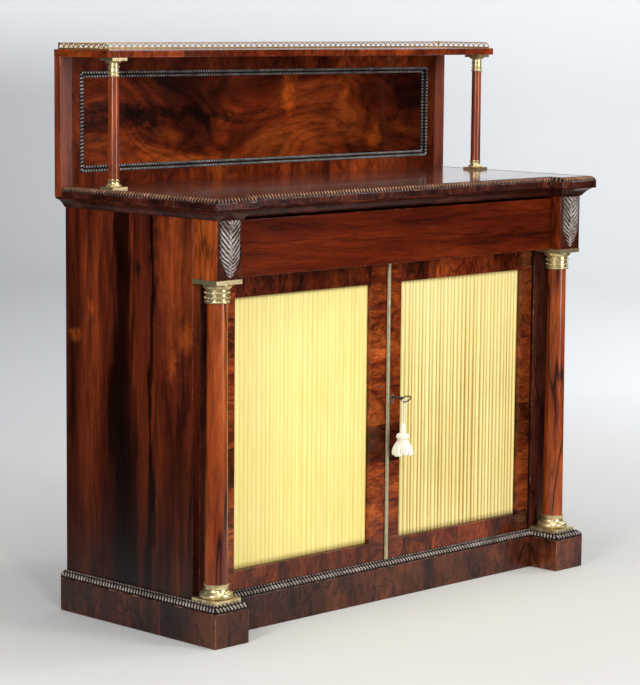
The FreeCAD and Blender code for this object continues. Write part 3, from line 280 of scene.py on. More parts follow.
def keptValue(tree, name):
    # a value that the mesh keeps at its points or faces
    return wire(tree, "ShaderNodeAttribute", attribute_name=name).outputs["Fac"]


def mapped(tree, place, scale, shift=(0, 0, 0), turn=(0, 0, 0)):
    return wire(tree, "ShaderNodeMapping", {
        "Vector": place, "Location": shift, "Rotation": turn, "Scale": scale}).outputs[0]


def cloud(tree, place, scale, detail, roughness=0.5, distortion=0.0):
    return wire(tree, "ShaderNodeTexNoise", {
        "Vector": place, "Scale": scale, "Detail": detail, "Roughness": roughness, "Distortion": distortion,
    }).outputs["Fac"]


def wave(tree, place, scale, distortion, direction):
    return wire(tree, "ShaderNodeTexWave", {"Vector": place, "Scale": scale, "Distortion": distortion},
                bands_direction=direction).outputs["Fac"]


def maths(tree, operation, first, second=0.0, third=None):
    inputs = {0: first, 1: second}
    if third is not None:
        inputs[2] = third
    return wire(tree, "ShaderNodeMath", inputs, operation=operation).outputs[0]


def vectorMaths(tree, operation, first, second=(0, 0, 0)):
    node = wire(tree, "ShaderNodeVectorMath", {0: first, 1: second}, operation=operation)
    return node.outputs["Value" if operation in ("LENGTH", "DOT_PRODUCT") else "Vector"]


def scaled(tree, vector, amount):
    return wire(tree, "ShaderNodeVectorMath", {0: vector, "Scale": amount}, operation="SCALE").outputs[0]


def between(tree, value, low, high, start=0.0, end=1.0, **settings):
    return wire(tree, "ShaderNodeMapRange", {
        "Value": value, "From Min": low, "From Max": high, "To Min": start, "To Max": end,
    }, **settings).outputs[0]


def ramp(tree, fac, stops, easing="LINEAR"):
    node = wire(tree, "ShaderNodeValToRGB", {"Fac": fac})
    node.color_ramp.interpolation = easing
    while len(node.color_ramp.elements) < len(stops):
        node.color_ramp.elements.new(0.5)
    for element, (place, colour) in zip(node.color_ramp.elements, stops):
        element.position = place
        element.color = (*colour, 1)
    return node.outputs["Color"]


def blendColours(tree, kind, fac, first, second):
    # the sockets 0, 6 and 7 are the factor and the two colours
    first, second = ((*colour, 1) if isinstance(colour, tuple) else colour for colour in (first, second))
    return wire(tree, "ShaderNodeMix", {0: fac, 6: first, 7: second},
                data_type="RGBA", blend_type=kind).outputs[2]


def grey(level):
    return (level, level, level)


def shaded(tree, colour, fac, low, depth, full, share=1.0, easing="LINEAR"):
    # the colour, darkened to the depth where the factor is low and left alone where it is full
    tint = depth if isinstance(depth, tuple) else grey(depth)
    shade = ramp(tree, fac, ((low, tint), (full, white)), easing)
    return blendColours(tree, "MULTIPLY", share, colour, shade)


def dimmed(tree, colour, value):
    return wire(tree, "ShaderNodeHueSaturation", {"Value": value, "Color": colour}).outputs[0]


def bumped(tree, height, strength, distance, under=None):
    inputs = {"Height": height, "Strength": strength, "Distance": distance}
    if under is not None:
        inputs["Normal"] = under
    return wire(tree, "ShaderNodeBump", inputs).outputs[0]


# rosewood veneers

rosewood = {
    "black": (0.014, 0.0040, 0.0025),
    "umber": (0.060, 0.0090, 0.0034),
    "red": (0.165, 0.0215, 0.0050),
    "amber": (0.330, 0.0600, 0.0095),
    "pale": (0.500, 0.1200, 0.0240),
    "flame": (0.760, 0.1350, 0.0120),
}


def shades(**places):
    # stops of a ramp, each given by the place of a colour of the rosewood
    return tuple((place, rosewood[name]) for name, place in places.items())


sideColours = shades(black=0.24, umber=0.36, red=0.48, amber=0.66)
panelColours = shades(black=0.33, umber=0.40, red=0.49, amber=0.60, pale=0.78)
plainColours = shades(umber=0.28, red=0.47, amber=0.74)
warmColours = shades(umber=0.28, red=0.42, amber=0.56, pale=0.76)
drawerColours = (
    (0.30, (0.045, 0.0045, 0.0016)), (0.50, (0.105, 0.0115, 0.0022)), (0.75, (0.17, 0.022, 0.004)),
)
darkColours = (
    (0.30, rosewood["black"]), (0.48, (0.050, 0.0105, 0.0060)), (0.70, (0.12, 0.027, 0.0120)),
)
plinthColours = (
    (0.30, (0.030, 0.0085, 0.0050)), (0.48, (0.085, 0.0200, 0.0090)), (0.70, (0.17, 0.0440, 0.0150)),
)
topColours = (
    (0.30, (0.075, 0.019, 0.011)), (0.50, (0.19, 0.050, 0.026)), (0.72, (0.31, 0.098, 0.048)),
)

# scale, width and depth of each set of dark lines
fineVeins = ((12.0, 0.022, 0.45), (34.0, 0.03, 0.6))
burrVeins = ((20.0, 0.045, 0.55), (52.0, 0.05, 0.7))
lightVein = ((11.0, 0.02, 0.65),)

plainVeneer = {
    # what a veneer has unless it says otherwise
    "shift": (0, 0, 0),       # where in the log it is cut
    "joint": None,            # axis and width of the leaves that it is laid in
    "contrast": 0.55,         # between its leaves, above the least
    "least": 0.7,
    "bend": 0.1,              # how far the figure bends the marks
    "marks": (),              # spot, size, strength and colour of each
    "rings": None,            # count and depth of growth lines
    "streakDark": 0.45,
    "fade": None,             # axis, dark end, full end and the least light
    "bands": (),              # axis, place, width and depth of each dark stripe
    "wear": 1,
    "bare": (0.34, 0.17, 0.10),
    "roughness": 0.2,
    "coat": 0.2,
    "specular": 0.22,
}

veneers = {
    "sideVeneer": {
        "grain": "z", "length": 0.09, "figure": 8.5, "swirl": 0.05, "swirlScale": 4.0,
        "colours": sideColours, "veins": ((9.0, 0.03, 0.55), (26.0, 0.03, 0.65), (70.0, 0.05, 0.75)),
        "shift": (0.3, 1.15, 0.0), "streakDark": 0.5, "roughness": 0.33, "bend": 0.03,
        # painted shade: the side is darker towards its foot, where less light falls
        "fade": (2, 0.08, 0.74, 0.25),
        "bands": ((1, 0.066, 0.029, 0.18), (1, -0.020, 0.008, 0.15), (1, 0.026, 0.005, 0.3)),
        "marks": (((-0.56, 0.013, 0.739), (1.0, 0.010, 0.014), 1.0, "black"),
                  ((-0.56, 0.161, 0.650), (1.0, 0.010, 0.018), 0.6, "flame"),
                  ((-0.56, 0.213, 0.590), (1.0, 0.016, 0.012), 0.6, "flame"),
                  ((-0.56, -0.128, 0.622), (1.0, 0.018, 0.028), 0.55, "flame"),
                  ((-0.56, -0.085, 0.560), (1.0, 0.012, 0.032), 0.55, "flame"),
                  ((-0.56, -0.100, 0.780), (1.0, 0.050, 0.220), 0.6, "amber"))},
    "plinthVeneer": {
        "grain": "z", "length": 0.5, "figure": 11.0, "swirl": 0.06, "swirlScale": 6.0,
        "colours": plinthColours, "veins": fineVeins, "joint": (0, 0.19), "wear": 2.2, "roughness": 0.26},
    "plinthSideVeneer": {
        "grain": "z", "length": 0.5, "figure": 11.0, "swirl": 0.06, "swirlScale": 6.0,
        "colours": darkColours, "veins": fineVeins, "joint": (1, 0.19), "wear": 2.2, "roughness": 0.26},
    "stileVeneer": {
        "grain": "x", "length": 0.40, "figure": 22.0, "swirl": 0.07, "swirlScale": 11.0,
        "colours": warmColours, "veins": burrVeins, "joint": (2, 0.083), "contrast": 0.8, "least": 0.45,
        # painted shade: the right door's hinge stile is darker, in the shade of the right column
        "fade": (0, 0.49, 0.40, 0.45)},
    "railVeneer": {
        "grain": "z", "length": 0.40, "figure": 22.0, "swirl": 0.07, "swirlScale": 11.0,
        "colours": plainColours, "veins": burrVeins, "joint": (0, 0.096), "contrast": 0.85, "least": 0.5},
    "backRailVeneer": {
        "grain": "z", "length": 0.55, "figure": 9.0, "swirl": 0.12, "swirlScale": 6.0,
        "colours": plainColours, "veins": lightVein, "rings": (9, 0.7), "joint": (0, 0.128),
        "contrast": 0.5, "least": 0.72},
    "uprightVeneer": {
        "grain": "z", "length": 0.25, "figure": 9.0, "swirl": 0.08, "swirlScale": 4.0,
        "colours": plainColours, "veins": lightVein, "roughness": 0.42, "specular": 0.45},
    # painted shade: a dark copy of the veneer for faces in shade, the front stiles behind the columns and
    # the fronts of the frieze blocks under the top
    "paintedShadeVeneer": {
        "grain": "z", "length": 0.25, "figure": 9.0, "swirl": 0.08, "swirlScale": 4.0,
        "colours": darkColours, "veins": fineVeins},
    "friezeVeneer": {
        "grain": "z", "length": 0.20, "figure": 11.0, "swirl": 0.05, "swirlScale": 5.0,
        "colours": warmColours, "veins": fineVeins},
    "drawerVeneer": {
        "grain": "x", "length": 0.09, "figure": 16.0, "swirl": 0.03, "swirlScale": 3.0,
        "colours": drawerColours, "veins": ((14.0, 0.03, 0.6), (33.0, 0.03, 0.7)),
        "shift": (0.0, 0.0, 0.35), "streakDark": 0.6},
    "corniceVeneer": {
        "grain": "x", "length": 0.3, "figure": 12.0, "swirl": 0.05, "swirlScale": 5.0,
        "colours": darkColours, "veins": fineVeins, "wear": 1.4, "specular": 0.12, "coat": 0.1},
    "edgeVeneer": {
        "grain": "z", "length": 0.4, "figure": 14.0, "swirl": 0.06, "swirlScale": 6.0,
        "colours": darkColours, "veins": fineVeins, "wear": 1.4, "roughness": 0.24, "specular": 0.45,
        "coat": 0.4},
    "topVeneer": {
        "grain": "x", "length": 0.22, "figure": 7.0, "swirl": 0.09, "swirlScale": 3.0,
        "colours": topColours, "veins": fineVeins, "roughness": 0.17, "coat": 0.5, "specular": 0.4,
        "wear": 1.2},
    "columnVeneer": {
        "grain": "z", "length": 0.13, "figure": 14.0, "swirl": 0.06, "swirlScale": 5.0,
        "colours": warmColours, "veins": ((7.0, 0.014, 0.10), (22.0, 0.03, 0.6)), "streakDark": 0.5,
        "roughness": 0.24, "specular": 0.35},
    "panelVeneer": {
        "grain": "x", "length": 0.42, "figure": 5.6, "swirl": 0.34, "swirlScale": 3.4,
        "colours": panelColours, "veins": ((30.0, 0.03, 0.7),), "rings": (17, 0.68),
        "shift": (0.70, 0.0, 0.28), "roughness": 0.17, "bend": 0.14, "fade": (0, 0.40, 0.16, 0.42),
        "marks": (((-0.43, 0.2, 1.035), (0.14, 1.0, 0.026), 0.9, "black"),
                  ((-0.26, 0.2, 1.060), (0.20, 1.0, 0.015), 0.9, "black"),
                  ((-0.30, 0.2, 1.012), (0.034, 1.0, 0.018), 0.7, "amber"),
                  ((-0.14, 0.2, 0.970), (0.060, 1.0, 0.014), 0.7, "amber"),
                  ((0.07, 0.2, 1.092), (0.018, 1.0, 0.040), 0.6, "flame"),
                  ((0.24, 0.2, 1.080), (0.018, 1.0, 0.014), 0.5, "flame"),
                  ((0.35, 0.2, 0.995), (0.020, 1.0, 0.030), 0.8, "flame"))},
    "shelfVeneer": {
        "grain": "y", "length": 0.5, "figure": 12.0, "swirl": 0.08, "swirlScale": 6.0,
        "colours": plainColours, "veins": fineVeins, "joint": (0, 0.088)},
}


def veneer(name, ownLook):
    # polished rosewood: a broad figure, dark veins along its contours, pores along the grain
    look = {**plainVeneer, **ownLook}
    finish, tree, shader = newFinish(name)
    place = cut = ownPlace(tree)
    tone = None
    if look["joint"]:
        # each leaf is cut from another spot and has its own tone
        axis, pitch = look["joint"]
        leaf = maths(tree, "FLOOR", maths(tree, "MULTIPLY_ADD", parted(tree, place)[axis], 1 / pitch, 0.37))
        chance = wire(tree, "ShaderNodeTexWhiteNoise", {"W": leaf}, noise_dimensions="1D")
        shift = vectorMaths(tree, "MULTIPLY", chance.outputs["Color"], (3.1, 2.7, 3.7))
        cut = vectorMaths(tree, "ADD", place, shift)
        tone = maths(tree, "MULTIPLY_ADD", chance.outputs["Value"], look["contrast"], look["least"])
    grain = "xyz".index(look["grain"])
    stretch, poreScale = [1.0, 1.0, 1.0], [900.0, 900.0, 900.0]
    stretch[grain], poreScale[grain] = look["length"], 28.0
    placed = mapped(tree, cut, stretch, look["shift"])
    drift = wire(tree, "ShaderNodeTexNoise", {"Vector": placed, "Scale": look["swirlScale"], "Detail": 2.0})
    centred = vectorMaths(tree, "SUBTRACT", drift.outputs["Color"], (0.5, 0.5, 0.5))
    placed = vectorMaths(tree, "ADD", placed, scaled(tree, centred, look["swirl"]))

    colour = ramp(tree, cloud(tree, placed, look["figure"], 5.0, 0.55, 0.35), look["colours"])
    streak = cloud(tree, placed, look["figure"] * 6, 3.0, 0.6)
    bent = vectorMaths(tree, "ADD", place, scaled(tree, centred, look["bend"]))
    if look["marks"]:
        curl = maths(tree, "SUBTRACT", cloud(tree, place, 42.0, 3.0, 0.55, 0.8), 0.5)
        feather = maths(tree, "MULTIPLY_ADD", curl, 2.6, maths(tree, "MULTIPLY_ADD", streak, 2.0, -1.0))
    for spot, size, strength, shade in look["marks"]:
        # a knot, a curl that catches the light or a patch of black heartwood, feathered by the grain
        offset = vectorMaths(tree, "DIVIDE", vectorMaths(tree, "SUBTRACT", bent, spot), size)
        reach = maths(tree, "ADD", vectorMaths(tree, "LENGTH", offset), feather)
        colour = blendColours(tree, "MIX", between(tree, reach, 0.2, 1.4, strength, 0.0), colour,
                              rosewood[shade])
    if look["rings"]:
        # growth lines, which follow the figure
        count, depth = look["rings"]
        broad = cloud(tree, placed, look["figure"] * 0.8, 1.0, distortion=0.5)
        ring = maths(tree, "SINE", maths(tree, "MULTIPLY", broad, fullTurn * count))
        colour = shaded(tree, colour, maths(tree, "MULTIPLY_ADD", ring, 0.5, 0.5), 0.0, depth, 0.55)
    colour = shaded(tree, colour, streak, 0.3, look["streakDark"], 0.62)
    for scale, width, depth in look["veins"]:
        line = cloud(tree, placed, scale, 3.0, distortion=0.2)
        near = maths(tree, "ABSOLUTE", maths(tree, "SUBTRACT", line, 0.5))
        colour = shaded(tree, colour, near, 0.0, depth, width, easing="EASE")
    pores = cloud(tree, mapped(tree, cut, poreScale), 1.0, 2.0)
    colour = shaded(tree, colour, pores, 0.3, 0.5, 0.5)
    if tone is not None:
        colour = dimmed(tree, colour, tone)
    parts = parted(tree, place)
    if look["fade"]:
        # darker towards one end of a board: painted shade at the foot of the sides and on the right hinge
        # stile beside its column; the raised panel is darker towards its right end
        axis, dark, full, least = look["fade"]
        colour = dimmed(tree, colour, between(tree, parts[axis], dark, full, least, 1.0))
    for axis, middle, width, depth in look["bands"]:
        # a dark stripe of heartwood that wanders up the board and is wider at its foot
        wander = cloud(tree, mapped(tree, place, (3.0, 30.0, 3.6)), 1.0, 6.0, 0.6)
        line = maths(tree, "MULTIPLY_ADD", maths(tree, "SUBTRACT", wander, 0.5), 0.09, parts[axis])
        gap = maths(tree, "ABSOLUTE", maths(tree, "SUBTRACT", line, middle))
        gap = maths(tree, "DIVIDE", gap, maths(tree, "MULTIPLY_ADD", parts[2], -1.3, 1.95))
        colour = shaded(tree, colour, gap, width * 0.6, depth, width)

    # worn edges show pale bare wood in places
    rub = ramp(tree, cloud(tree, place, 42.0, 6.0, 0.7), (
        (0.60 - 0.045 * look["wear"], grey(0.0)), (0.68, white)))
    rubbed = maths(tree, "MULTIPLY", keptValue(tree, "worn"), rub)
    haze = cloud(tree, place, 7.0, 4.0)
    polish = maths(tree, "MULTIPLY_ADD", haze, 0.14, look["roughness"] - 0.06)
    feed(tree, shader, {
        "Base Color": blendColours(tree, "MIX", rubbed, colour, look["bare"]),
        "Roughness": maths(tree, "MULTIPLY_ADD", rubbed, 0.3, polish),
        "Coat Weight": look["coat"], "Coat Roughness": 0.08, "Specular IOR Level": look["specular"],
        "Normal": bumped(tree, haze, 0.12, 0.002, under=bumped(tree, pores, 0.16, 0.0002)),
    })
    return finish


# metal, carving, plain timber, silk and yarn

metals = {
    # base colour, tarnish, roughness, tarnish share
    "giltBrass": ((0.82, 0.68, 0.38), (0.28, 0.20, 0.08), 0.25, 0.45),
    "galleryBrass": ((0.76, 0.50, 0.20), (0.40, 0.20, 0.06), 0.30, 0.48),
    "stripBrass": ((0.62, 0.56, 0.36), (0.34, 0.30, 0.17), 0.34, 0.55),
    "fittingBrass": ((0.66, 0.48, 0.20), (0.28, 0.17, 0.06), 0.34, 0.50),
    "keySteel": ((0.20, 0.185, 0.17), (0.06, 0.035, 0.025), 0.38, 0.55),
    "plateSteel": ((0.55, 0.52, 0.48), (0.17, 0.12, 0.09), 0.34, 0.50),
    "lockSteel": ((0.36, 0.35, 0.34), (0.10, 0.07, 0.05), 0.42, 0.50),
}


def metal(name, clean, tarnished, roughness, share):
    finish, tree, shader = newFinish(name)
    place = ownPlace(tree)
    stain = ramp(tree, cloud(tree, place, 70.0, 6.0, 0.65), (
        (share - 0.12, white), (share + 0.14, grey(0.0))))
    feed(tree, shader, {
        "Base Color": blendColours(tree, "MIX", maths(tree, "MULTIPLY", stain, 0.75), clean, tarnished),
        "Roughness": maths(tree, "MULTIPLY_ADD", stain, 0.2, roughness),
        "Metallic": 0.88,
        "Normal": bumped(tree, cloud(tree, place, 900.0, 3.0), 0.12, 0.0002),
    })
    return finish


carvedWoods = {
    # low and high colour, roughness, specular level, coat and the painted shade of the hollows
    # painted shade: the near-black ground darkens the gaps between the lobes of the plinth and top
    # carvings; on the panel moulding it is the real black of the ebonising
    "carvedGroundAndShade": ((0.008, 0.005, 0.004), (0.020, 0.011, 0.008), 0.75, 0.08, 0.0, None),
    # painted highlight: the pale grey of these lobes and beads stands in for their sheen
    "carvedPlinthSheen": ((0.115, 0.085, 0.070), (0.34, 0.285, 0.245), 0.24, 1.0, 0.35, None),
    "carvedEdge": ((0.18, 0.062, 0.024), (0.50, 0.235, 0.110), 0.26, 0.7, 0.35, None),
    # painted light: the leaf's crowns are pale grey as a painted highlight and its hollows near black as
    # painted shade
    "carvedLeafPaintedLight": ((0.11, 0.042, 0.022), (0.48, 0.41, 0.37), 0.24, 1.0, 0.35, (0.010, 0.0035, 0.0025)),
    # painted highlight: the beads of the black moulding are grey, standing in for their sheen
    "ebonised": ((0.09, 0.085, 0.083), (0.30, 0.285, 0.27), 0.2, 1.0, 0.35, None),
    "pinIron": ((0.006, 0.004, 0.004), (0.016, 0.010, 0.008), 0.5, 0.3, 0.35, None),
}


def carvedWood(name, low, high, roughness, specular, coat, hollowShade):
    # Stained carving in brown or grey patches; where it is pale grey, that stands in for sheen as a painted
    # highlight.
    # Where there are hollows, the mesh keeps how far each point is from them, and they take a painted
    # shade.
    finish, tree, shader = newFinish(name)
    place = ownPlace(tree)
    patch = cloud(tree, place, 34.0, 6.0, 0.65)
    colour = ramp(tree, patch, ((0.36, low), (0.68, high)))
    # painted highlight on the crowns and painted shade in the hollows
    if hollowShade:
        colour = blendColours(tree, "MIX", keptValue(tree, "crown"), hollowShade, colour)
    feed(tree, shader, {
        "Base Color": colour,
        "Roughness": maths(tree, "MULTIPLY_ADD", patch, 0.2, roughness - 0.1),
        "Specular IOR Level": specular, "Coat Weight": coat, "Coat Roughness": 0.18,
        "Normal": bumped(tree, cloud(tree, place, 420.0, 4.0), 0.25, 0.0003),
    })
    return finish


timbers = {
    # low and high colour, axis of the grain
    "insideAcross": ((0.085, 0.035, 0.016), (0.19, 0.09, 0.045), "x"),
    "insideUpright": ((0.085, 0.035, 0.016), (0.19, 0.09, 0.045), "z"),
    "insideDeep": ((0.11, 0.052, 0.024), (0.24, 0.13, 0.065), "y"),
}


def plainTimber(name, low, high, grainAxis):
    # the unpolished wood inside the case and the drawer
    finish, tree, shader = newFinish(name)
    stretch = [1.0, 1.0, 1.0]
    stretch["xyz".index(grainAxis)] = 0.07
    place = mapped(tree, ownPlace(tree), stretch)
    fine = cloud(tree, place, 240.0, 3.0)
    colour = ramp(tree, cloud(tree, place, 14.0, 5.0, distortion=0.4), ((0.3, low), (0.7, high)))
    feed(tree, shader, {
        "Base Color": shaded(tree, colour, fine, 0.3, 0.55, 0.65, share=0.6),
        "Roughness": maths(tree, "MULTIPLY_ADD", fine, 0.2, 0.5),
        "Normal": bumped(tree, fine, 0.3, 0.0004),
    })
    return finish


silks = {
    # colour of the crowns, and the painted shade of the valleys between them
    "silkSoft": ((0.86, 0.74, 0.285), (0.66, 0.50, 0.14)),
    "silkDeep": ((0.91, 0.81, 0.36), (0.32, 0.155, 0.0)),
}
silkLook = {"weaveScale": 2400.0, "slubScale": 260.0, "slubLength": 0.04}


def silk(name, crownColour, foldShadeColour):
    # the mesh keeps how deep in a pleat each point lies, and the deep points take a painted shade
    finish, tree, shader = newFinish(name)
    place = ownPlace(tree)
    colour = blendColours(tree, "MIX", keptValue(tree, "foldShade"), crownColour, foldShadeColour)
    slubs = cloud(tree, mapped(tree, place, (1, 1, silkLook["slubLength"])), silkLook["slubScale"], 4.0)
    colour = shaded(tree, colour, slubs, 0.3, (0.80, 0.76, 0.62), 0.6, share=0.5)
    colour = shaded(tree, colour, cloud(tree, place, 5.0, 3.0), 0.35, (0.93, 0.86, 0.62), 0.6, share=0.35)
    weft = wave(tree, place, silkLook["weaveScale"] / 6.28, 0.6, "Z")
    feed(tree, shader, {
        "Base Color": colour, "Roughness": 0.5, "Specular IOR Level": 0.25,
        "Sheen Weight": 0.06, "Sheen Tint": (*crownColour, 1),
        "Normal": bumped(tree, maths(tree, "MULTIPLY_ADD", weft, 0.4, slubs), 0.25, 0.0002),
    })
    return finish


def tasselYarn():
    # the twist runs along the yarn's own length, kept in its map as v
    finish, tree, shader = newFinish("tasselYarn")
    place = wire(tree, "ShaderNodeUVMap", uv_map="yarn").outputs["UV"]
    twist = wave(tree, place, 1.0, 0.3, "DIAGONAL")
    # painted shade: the grooves of the twist are darker
    colour = blendColours(tree, "MIX", twist, (0.76, 0.70, 0.57), (0.94, 0.91, 0.82))
    body = cloud(tree, ownPlace(tree), 320.0, 4.0)
    feed(tree, shader, {
        "Base Color": shaded(tree, colour, body, 0.3, (0.86, 0.80, 0.68), 0.6, share=0.5),
        "Roughness": 0.7, "Sheen Weight": 0.4,
        "Normal": bumped(tree, twist, 0.5, 0.0004),
    })
    return finish


def cordYarn():
    finish, tree, shader = newFinish("cordYarn")
    twist = wave(tree, mapped(tree, ownPlace(tree), white, turn=(0, 0.6, 0)), 95.0, 0.4, "Z")
    feed(tree, shader, {
        # painted shade: the grooves of the twist are darker
        "Base Color": blendColours(tree, "MIX", twist, (0.55, 0.47, 0.34), (0.86, 0.80, 0.66)),
        "Roughness": 0.75, "Sheen Weight": 0.3,
        "Normal": bumped(tree, twist, 0.6, 0.0004),
    })
    return finish


finishes = {name: veneer(name, look) for name, look in veneers.items()}
finishes.update({name: metal(name, *look) for name, look in metals.items()})
finishes.update({name: carvedWood(name, *look) for name, look in carvedWoods.items()})
finishes.update({name: plainTimber(name, *look) for name, look in timbers.items()})
finishes.update({name: silk(name, *look) for name, look in silks.items()})
finishes.update({"tasselYarn": tasselYarn(), "cordYarn": cordYarn()})
print("finishes made:", len(finishes))


# making pieces

def addPiece(label, mesh, body, finish, smooth=True):
    mesh.materials.clear()
    mesh.materials.append(finishes[finish])
    if smooth:
        mesh.shade_smooth()
    piece = bpy.data.objects.new(label, mesh)
    scene.collection.objects.link(piece)
    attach(piece, body)
    return piece


def keepValues(mesh, name, values):
    attribute = mesh.attributes.new(name, "FLOAT", "POINT")
    for index, value in enumerate(values):
        attribute.data[index].value = value


def lobeTree():
    # one closed lobe at even steps along each run of a path
    tree = bpy.data.node_groups.new("lobesAlongRuns", "GeometryNodeTree")
    face = tree.interface
    face.new_socket(name="Geometry", in_out="INPUT", socket_type="NodeSocketGeometry")
    for label, kind in (("Pitch", "Float"), ("Lobe Size", "Vector"), ("Lobe Turn", "Vector"),
                        ("Taper", "Float"), ("Outward Axis", "Vector"), ("Uneven", "Float"),
                        ("Seed", "Int"), ("Finish", "Material")):
        face.new_socket(name=label, in_out="INPUT", socket_type="NodeSocket" + kind)
    face.new_socket(name="Geometry", in_out="OUTPUT", socket_type="NodeSocketGeometry")
    given = tree.nodes.new("NodeGroupInput").outputs
    spaced = wire(tree, "GeometryNodeResampleCurve", {"Curve": given["Geometry"], "Length": given["Pitch"]},
                  mode="LENGTH")
    points = wire(tree, "GeometryNodeCurveToPoints", {"Curve": spaced.outputs[0]}, mode="EVALUATED")
    facing = wire(tree, "FunctionNodeAxesToRotation", {
        "Primary Axis": points.outputs["Tangent"], "Secondary Axis": given["Outward Axis"],
    }, primary_axis="X", secondary_axis="Z")
    ball = wire(tree, "GeometryNodeMeshUVSphere", {"Segments": 8, "Rings": 6, "Radius": 1.0})
    parts = parted(tree, wire(tree, "GeometryNodeInputPosition").outputs[0])
    narrow = maths(tree, "MULTIPLY_ADD", parts[2], given["Taper"], 1.0)
    shaped = wire(tree, "ShaderNodeCombineXYZ", {
        0: maths(tree, "MULTIPLY", parts[0], narrow), 1: parts[1], 2: parts[2]})
    tapered = wire(tree, "GeometryNodeSetPosition", {
        "Geometry": ball.outputs["Mesh"], "Position": shaped.outputs[0]})
    sized = wire(tree, "GeometryNodeTransform", {
        "Geometry": tapered.outputs[0], "Scale": given["Lobe Size"]})
    turned = wire(tree, "GeometryNodeTransform", {
        "Geometry": sized.outputs[0],
        "Rotation": wire(tree, "FunctionNodeEulerToRotation", {"Euler": given["Lobe Turn"]}).outputs[0]})
    varied = wire(tree, "FunctionNodeRandomValue", {
        "Min": maths(tree, "SUBTRACT", 1.0, given["Uneven"]),
        "Max": maths(tree, "ADD", 1.0, given["Uneven"]), "Seed": given["Seed"]}, data_type="FLOAT")
    grown = wire(tree, "GeometryNodeInstanceOnPoints", {
        "Points": points.outputs["Points"], "Instance": turned.outputs[0],
        "Rotation": facing.outputs[0], "Scale": varied.outputs["Value"]})
    solid = wire(tree, "GeometryNodeRealizeInstances", {"Geometry": grown.outputs[0]})
    smooth = wire(tree, "GeometryNodeSetShadeSmooth", {"Geometry": solid.outputs[0]})
    finished = wire(tree, "GeometryNodeSetMaterial", {
        "Geometry": smooth.outputs[0], "Material": given["Finish"]})
    out = tree.nodes.new("NodeGroupOutput")
    tree.links.new(finished.outputs[0], out.inputs["Geometry"])
    return tree


lobes = lobeTree()


def grow(label, runs, inputs, body, finish, closed=False):
    # lobes along the runs, which are a curve's splines; the result becomes a plain mesh
    path = bpy.data.curves.new(label + "_path", "CURVE")
    path.dimensions = "3D"
    for run in runs:
        spline = path.splines.new("POLY")
        spline.points.add(len(run) - 1)
        for point, place in zip(spline.points, run):
            point.co = (*place, 1)
        spline.use_cyclic_u = closed
    guide = bpy.data.objects.new(label + "_path", path)
    scene.collection.objects.link(guide)
    modifier = guide.modifiers.new("growth", "NODES")
    modifier.node_group = lobes
    sockets = {item.name: item.identifier for item in lobes.interface.items_tree
               if item.item_type == "SOCKET" and item.in_out == "INPUT"}
    for name, value in {**inputs, "Finish": finishes[finish]}.items():
        modifier[sockets[name]] = value
    guide.update_tag()
    bpy.context.view_layer.update()
    mesh = bpy.data.meshes.new_from_object(guide.evaluated_get(bpy.context.evaluated_depsgraph_get()))
    guide.modifiers.clear()
    bpy.data.objects.remove(guide)
    if not mesh.polygons:
        raise SystemExit(label + " grew nothing")
    addPiece(label, mesh, body, finish)


def route(corners, inset):
    # straight runs between corners, each drawn in from its ends
    runs = []
    for start, end in zip(corners, corners[1:]):
        along = (Vector(end) - Vector(start)).normalized() * inset
        runs.append((Vector(start) + along, Vector(end) - along))
    return runs


def middleOf(node):
    low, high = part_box(node)
    return (low + high) / 2


def skinned(shape, rings, mapAt=None):
    # a closed skin over rings of points, with a map if there is a way to place it
    layer = shape.loops.layers.uv.new("yarn") if mapAt else None
    for index, (first, second) in enumerate(zip(rings, rings[1:])):
        for step in range(len(first)):
            following = (step + 1) % len(first)
            face = shape.faces.new((first[step], first[following], second[following], second[step]))
            if mapAt:
                marks = ((step, index), (step + 1, index), (step + 1, index + 1), (step, index + 1))
                for loop, mark in zip(face.loops, marks):
                    loop[layer].uv = mapAt(*mark)
    shape.faces.new(rings[0][::-1])
    shape.faces.new(rings[-1])
    return shape


def gathered(shapes, label):
    # several bmesh shapes as one mesh
    whole = bmesh.new()
    for shape in shapes:
        part = bpy.data.meshes.new("part")
        shape.to_mesh(part)
        shape.free()
        whole.from_mesh(part)
        bpy.data.meshes.remove(part)
    mesh = bpy.data.meshes.new(label)
    bmesh.ops.recalc_face_normals(whole, faces=whole.faces)
    whole.to_mesh(mesh)
    whole.free()
    return mesh


# the cord and the tassel

cord = {
    # the route of the double cord in millimetres, beside the axis of the tassel
    "route": ((-2.8, 390.0), (-3.2, 414.0), (-4.2, 440.3), (4.2, 440.3), (3.2, 414.0), (2.8, 390.0)),
    "radius": 1.5,
    "length": 0.104,
}
tassel = {
    # in millimetres
    "capTop": 3.5,
    "capRadius": 6.15,
    "capHeight": 21.0,
    "capRim": 0.8,
    "wraps": 7,
    "wrapSteps": 6,
    "wrapDepth": 0.9,
    "neckRadius": 6.0,
    "ballRadius": 14.4,
    "ballFootRadius": 10.6,
    "ballHeight": 17.0,
    "ballSteps": 16,
    "ballRibs": 18,
    "ribDepth": 0.10,         # as a share of the radius
    "around": 108,
    "bindingRadius": 10.9,
    "bindingYarn": 1.2,
    "loopCount": 12,
    "innerLoopCount": 9,
    "innerLoopIn": 8.0,
    "loopWidth": 7.8,
    "yarnRadius": 2.6,
    "skirtReach": 23.6,
    "skirtTop": 9.0,
    "seed": 4,
}


